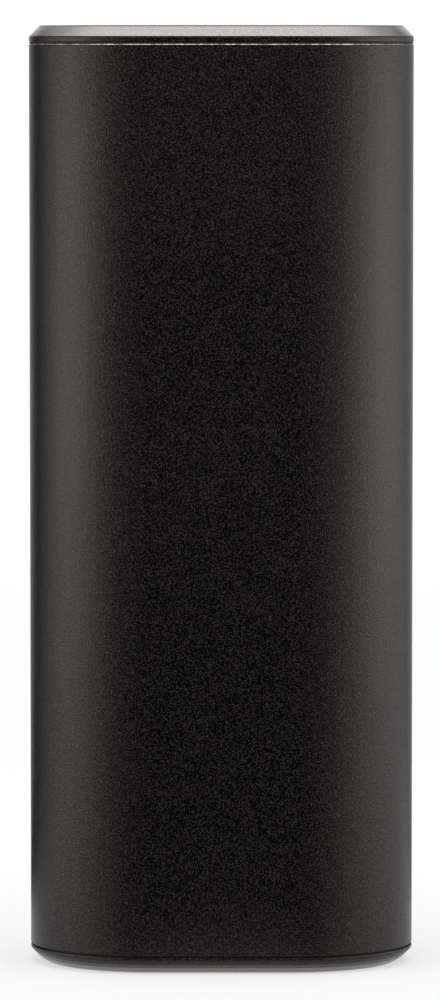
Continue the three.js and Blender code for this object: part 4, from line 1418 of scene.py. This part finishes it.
@dataclass(frozen=True)
class Tongue:
    """A socket's insulating tongue, which stands on a block and carries contacts on its front."""

    node: str
    inset: float
    front: float
    back: float
    contacts: int
    contact_width: float
    contact_length: float
    contact_start: float = 0.0005
    contact_height: float = 0.00008
    contact_edge: float = 0.00003
    edge: float = 0.00012

    def build(self, block: bpy.types.Object) -> None:
        """Adds the tongue to its block, and then lays the contacts on it.

        Args:
            block: The block at the tongue's root, which becomes the piece.
        """
        low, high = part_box(self.node)
        first, last = low.x + self.inset, high.x - self.inset
        tip = last, self.back, high.z - self.edge
        tongue = draw_block("tongue", (first, self.front, low.z), tip, 0.0, self.edge)
        combine(block, [tongue], Joining.ADD)
        pitch = (last - first) / self.contacts
        half = self.contact_width / 2
        foot = low.z + self.contact_start
        shapes = [block]
        for number in range(self.contacts):
            x = first + (number + HALF) * pitch
            shapes.append(draw_block(
                f"contact_{number}", (x - half, self.front - self.contact_height, foot),
                (x + half, self.front + self.contact_height, foot + self.contact_length), 0.0,
                self.contact_edge,
            ))
        whole = gather(block.name, shapes)
        settle(whole, "socket_plastic", [self.node], [GOLD_CONTACT])
        top = foot + self.contact_length
        paint(whole, 1, lambda place, normal: place.y < self.front - SAME_PLACE and place.z <= top)



@dataclass
class CapScrews:
    """The two black screws that hold the bottom cap to the legs."""

    head_height: float = 0.0009
    shank_radius: float = 0.001
    crown_shares: tuple[Station, ...] = ((0.4, 0.0), (0.75, 0.09), (1.0, 0.45))
    tip_height: float = 0.0005
    tip_share: float = 0.5
    rounding: float = 0.00015
    round_steps: int = 3
    slot_width: float = 0.00055
    slot_depth: float = 0.0005
    slot_reach: float = 0.0013
    slot_corner: float = 0.0001

    def build(self) -> None:
        """Builds one screw and copies it across."""
        low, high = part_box("cap_screw_left")
        x, head = span("cap_screw_left", "x")
        shank = self.shank_radius
        under = low.z + self.head_height
        crown = [(head * across, low.z + self.head_height * rise) for across, rise in self.crown_shares]
        corners = [
            *crown, (head, under), (shank, under), (shank, high.z - self.tip_height),
            (shank * self.tip_share, high.z),
        ]
        stations = rounded(corners, self.rounding, self.round_steps)
        screw = draw_rings("left_cap_screw", RoundSection(x, 0.0, SMALL_ROUND), stations)
        combine(screw, self.cross(x, low.z), Joining.CUT)
        other = copy_across(screw, "right_cap_screw", (-2 * x, 0, 0))
        settle(screw, "black_steel", ["cap_screw_left"])
        settle(other, "black_steel", ["cap_screw_right"])

    def cross(self, x: float, face: float) -> list[bpy.types.Object]:
        """Draws the cutters for the driver's cross.

        Args:
            x: The screw's place.
            face: The height of its head's face.

        Returns:
            One block each way.
        """
        half, top, foot = self.slot_width / 2, face + self.slot_depth, face - self.slot_depth
        ways = (self.slot_reach, half), (half, self.slot_reach)
        return [
            draw_block(f"slot_{number}", (x - wide, -deep, foot), (x + wide, deep, top), self.slot_corner)
            for number, (wide, deep) in enumerate(ways)
        ]


@dataclass
class StrapPin:
    """The steel pin across the strap pocket."""

    end_bevel: float = 0.00012

    def draw(self, name: str, grow: float) -> bpy.types.Object:
        """Draws the pin upright, then lays it across the pocket.

        Args:
            name: The new object's name.
            grow: How much larger than the pin it is all round.

        Returns:
            The pin's shape.
        """
        low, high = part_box("lanyard_pin")
        centre = (low + high) / 2
        half, radius = (span("lanyard_pin", axis)[1] + grow for axis in "xz")
        bevel = self.end_bevel
        stations = [
            (radius - bevel, centre.z - half), (radius, centre.z - half + bevel),
            (radius, centre.z + half - bevel), (radius - bevel, centre.z + half),
        ]
        pin = draw_rings(name, RoundSection(centre.x, centre.y, TINY_ROUND), stations)
        return lay_along(pin, "Y", tuple(centre))

    def build(self) -> None:
        """Builds the pin."""
        settle(self.draw("strap_pin", 0.0), "steel", ["lanyard_pin"])


@dataclass
class InnerParts:
    """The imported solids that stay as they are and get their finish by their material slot."""

    subparts: Sequence[dict]

    def dress(self) -> None:
        """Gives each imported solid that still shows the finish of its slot."""
        for part in self.subparts:
            node = frame["nodes"][part["node"]]
            if node.hide_render:
                continue
            material = FINISHES[part["material_slot"]].material()
            for slot in node.material_slots:
                slot.material = material
            LOG.info("%s: %s", node.name, material.name)


# Floor, lights and camera


@dataclass(frozen=True)
class Card:
    """A dark card that only reflections see, lying on the floor and standing up at its far end.

    It spans a range of directions round the object, in degrees from the camera's side.
    """

    name: str
    start: float
    end: float
    near: float = 0.05
    far: float = 0.9
    height: float = 0.7
    tone: float = 0.04
    lift: float = 0.0004
    sides: int = 180

    def build(self) -> None:
        """Draws the card from a ring of which only its own directions are kept."""
        centre = (0, 0, self.lift)
        card = start_ring(self.name, self.sides, self.near, centre)
        choose(lambda place: not self.start <= math.degrees(math.atan2(place.x, -place.y)) <= self.end)
        bpy.ops.mesh.delete(type="VERT")
        bpy.ops.mesh.select_all(action="SELECT")
        bpy.ops.mesh.extrude_edges_move()
        share = self.far / self.near
        bpy.ops.transform.resize(value=(share, share, 1.0), center_override=centre)
        bpy.ops.mesh.extrude_edges_move(TRANSFORM_OT_translate={"value": (0, 0, self.height)})
        leave_edit_mode()
        material, sheet = NodeSheet.for_material(self.name)
        dark = sheet.add("Emission", Strength=self.tone)
        sheet.add("OutputMaterial", Surface=dark.outputs["Emission"])
        card.data.materials.append(material)
        card.visible_camera = False
        card.visible_diffuse = False
        card.visible_transmission = False
        card.visible_shadow = False


@dataclass(frozen=True)
class Lamp:
    """A soft rectangular lamp that faces the middle of the object. Its power is in watts."""

    name: str
    place: Place
    size: tuple[float, float]
    power: float

    def build(self) -> None:
        """Adds the lamp, which the camera doesn't see."""
        data = bpy.data.lights.new(self.name, "AREA")
        data.shape = "RECTANGLE"
        data.size, data.size_y = self.size
        data.energy = self.power
        lamp = bpy.data.objects.new(self.name, data)
        bpy.context.scene.collection.objects.link(lamp)
        centre = (CAD_BOX[0] + CAD_BOX[1]) / 2
        lamp.location = self.place
        lamp.rotation_euler = (centre - Vector(self.place)).to_track_quat("-Z", "Y").to_euler()
        lamp.visible_camera = False


@dataclass
class Studio:
    """A pale floor, soft lights from both sides and above, dark cards and the camera in front."""

    cards: tuple[Card, ...] = (
        Card("front_card", -44.0, 44.0, near=0.02), Card("left_back_card", -152.0, -112.0),
        Card("right_back_card", 138.0, 152.0),
    )
    lamps: tuple[Lamp, ...] = (
        Lamp("left_strip", (-0.5, -0.15, 0.035), (0.3, 0.26), 1.8),
        Lamp("right_strip", (0.5, -0.06, 0.035), (0.4, 0.26), 1.8),
        Lamp("overhead", (0.0, -0.12, 0.7), (1.0, 0.8), 4.0),
    )
    ambient: float = 0.6
    floor_radius: float = 8.0
    floor_sides: int = 96
    floor_colour: Colour = (0.86, 0.86, 0.86)
    floor_glow: float = 0.55
    glow_start: float = 0.08
    glow_end: float = 0.5
    camera_place: Place = (-0.00015, -0.6506, 0.10164)
    camera_tilt: float = math.radians(4.4115)
    lens: float = 211.43
    sight: tuple[float, float] = (0.01, 50.0)

    def build(self) -> None:
        """Builds everything that isn't part of the object."""
        self.build_floor()
        self.build_world()
        for fitting in (*self.cards, *self.lamps):
            fitting.build()
        self.add_camera()
        bpy.context.scene.view_settings.view_transform = "Standard"

    @staticmethod
    def seen_mask(sheet: NodeSheet) -> bpy.types.NodeSocket:
        """Gives a mask of the rays that see the background.

        Args:
            sheet: The nodes that the mask is added to.

        Returns:
            A socket that is 1 for camera, glossy and transmission rays.
        """
        rays = sheet.add("LightPath").outputs
        either = sheet.add("Math", rays["Is Camera Ray"], rays["Is Glossy Ray"], operation="MAXIMUM")
        every = sheet.add("Math", either.outputs[0], rays["Is Transmission Ray"], operation="MAXIMUM")
        return every.outputs[0]

    def build_floor(self) -> None:
        """Lays the floor, which keeps the object's shadow and turns white away from it."""
        clear_selection()
        bpy.ops.mesh.primitive_circle_add(
            vertices=self.floor_sides, radius=self.floor_radius, fill_type="NGON",
            location=(0, 0, CAD_BOX[0].z),
        )
        floor = take_new("studio_floor")
        material, sheet = NodeSheet.for_material("pale_floor")
        where = sheet.add("TexCoord").outputs["Object"]
        away = sheet.add("VectorMath", where, operation="LENGTH").outputs["Value"]
        glow_share = sheet.add(
            "MapRange", Value=away, From_Min=self.glow_start, From_Max=self.glow_end,
            To_Min=self.floor_glow, To_Max=1.0,
        ).outputs["Result"]
        share = sheet.add("Math", self.seen_mask(sheet), glow_share, operation="MULTIPLY").outputs[0]
        matt = sheet.add("BsdfDiffuse", Color=(*self.floor_colour, 1.0)).outputs["BSDF"]
        glow = sheet.add("Emission", Strength=1.0).outputs["Emission"]
        both = sheet.add("MixShader", share, matt, glow)
        sheet.add("OutputMaterial", Surface=both.outputs["Shader"])
        floor.data.materials.append(material)

    def build_world(self) -> None:
        """Sets a white background, and the even light that comes from all round."""
        world = bpy.data.worlds.new("studio")
        world.use_nodes = True
        bpy.context.scene.world = world
        sheet = NodeSheet(world.node_tree)
        lighting, shown = (
            sheet.add("Background", Color=(1.0, 1.0, 1.0, 1.0), Strength=strength).outputs["Background"]
            for strength in (self.ambient, 1.0)
        )
        both = sheet.add("MixShader", self.seen_mask(sheet), lighting, shown)
        sheet.add("OutputWorld", Surface=both.outputs["Shader"])

    def add_camera(self) -> None:
        """Adds the camera, level with the top of the object and tilted down to its middle."""
        data = bpy.data.cameras.new("camera")
        data.lens = self.lens
        data.clip_start, data.clip_end = self.sight
        camera = bpy.data.objects.new("camera", data)
        bpy.context.scene.collection.objects.link(camera)
        camera.location = self.camera_place
        camera.rotation_euler = (QUARTER_TURN - self.camera_tilt, 0.0, 0.0)
        bpy.context.scene.camera = camera


def main() -> None:
    """Builds the hand warmer's pieces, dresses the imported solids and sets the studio."""
    logging.basicConfig(level=logging.INFO, format="%(name)s: %(message)s")
    Studio().build()
    shell = Shell()
    shell.build()
    TopCap(shell).build()
    BottomCap(shell).build()
    PowerButton().build()
    LightPipes().build()
    Sockets().build()
    CapScrews().build()
    StrapPin().build()
    InnerParts(frame["record"]["subparts"]).dress()
    clear_selection()


if __name__ == "__main__":
    main()
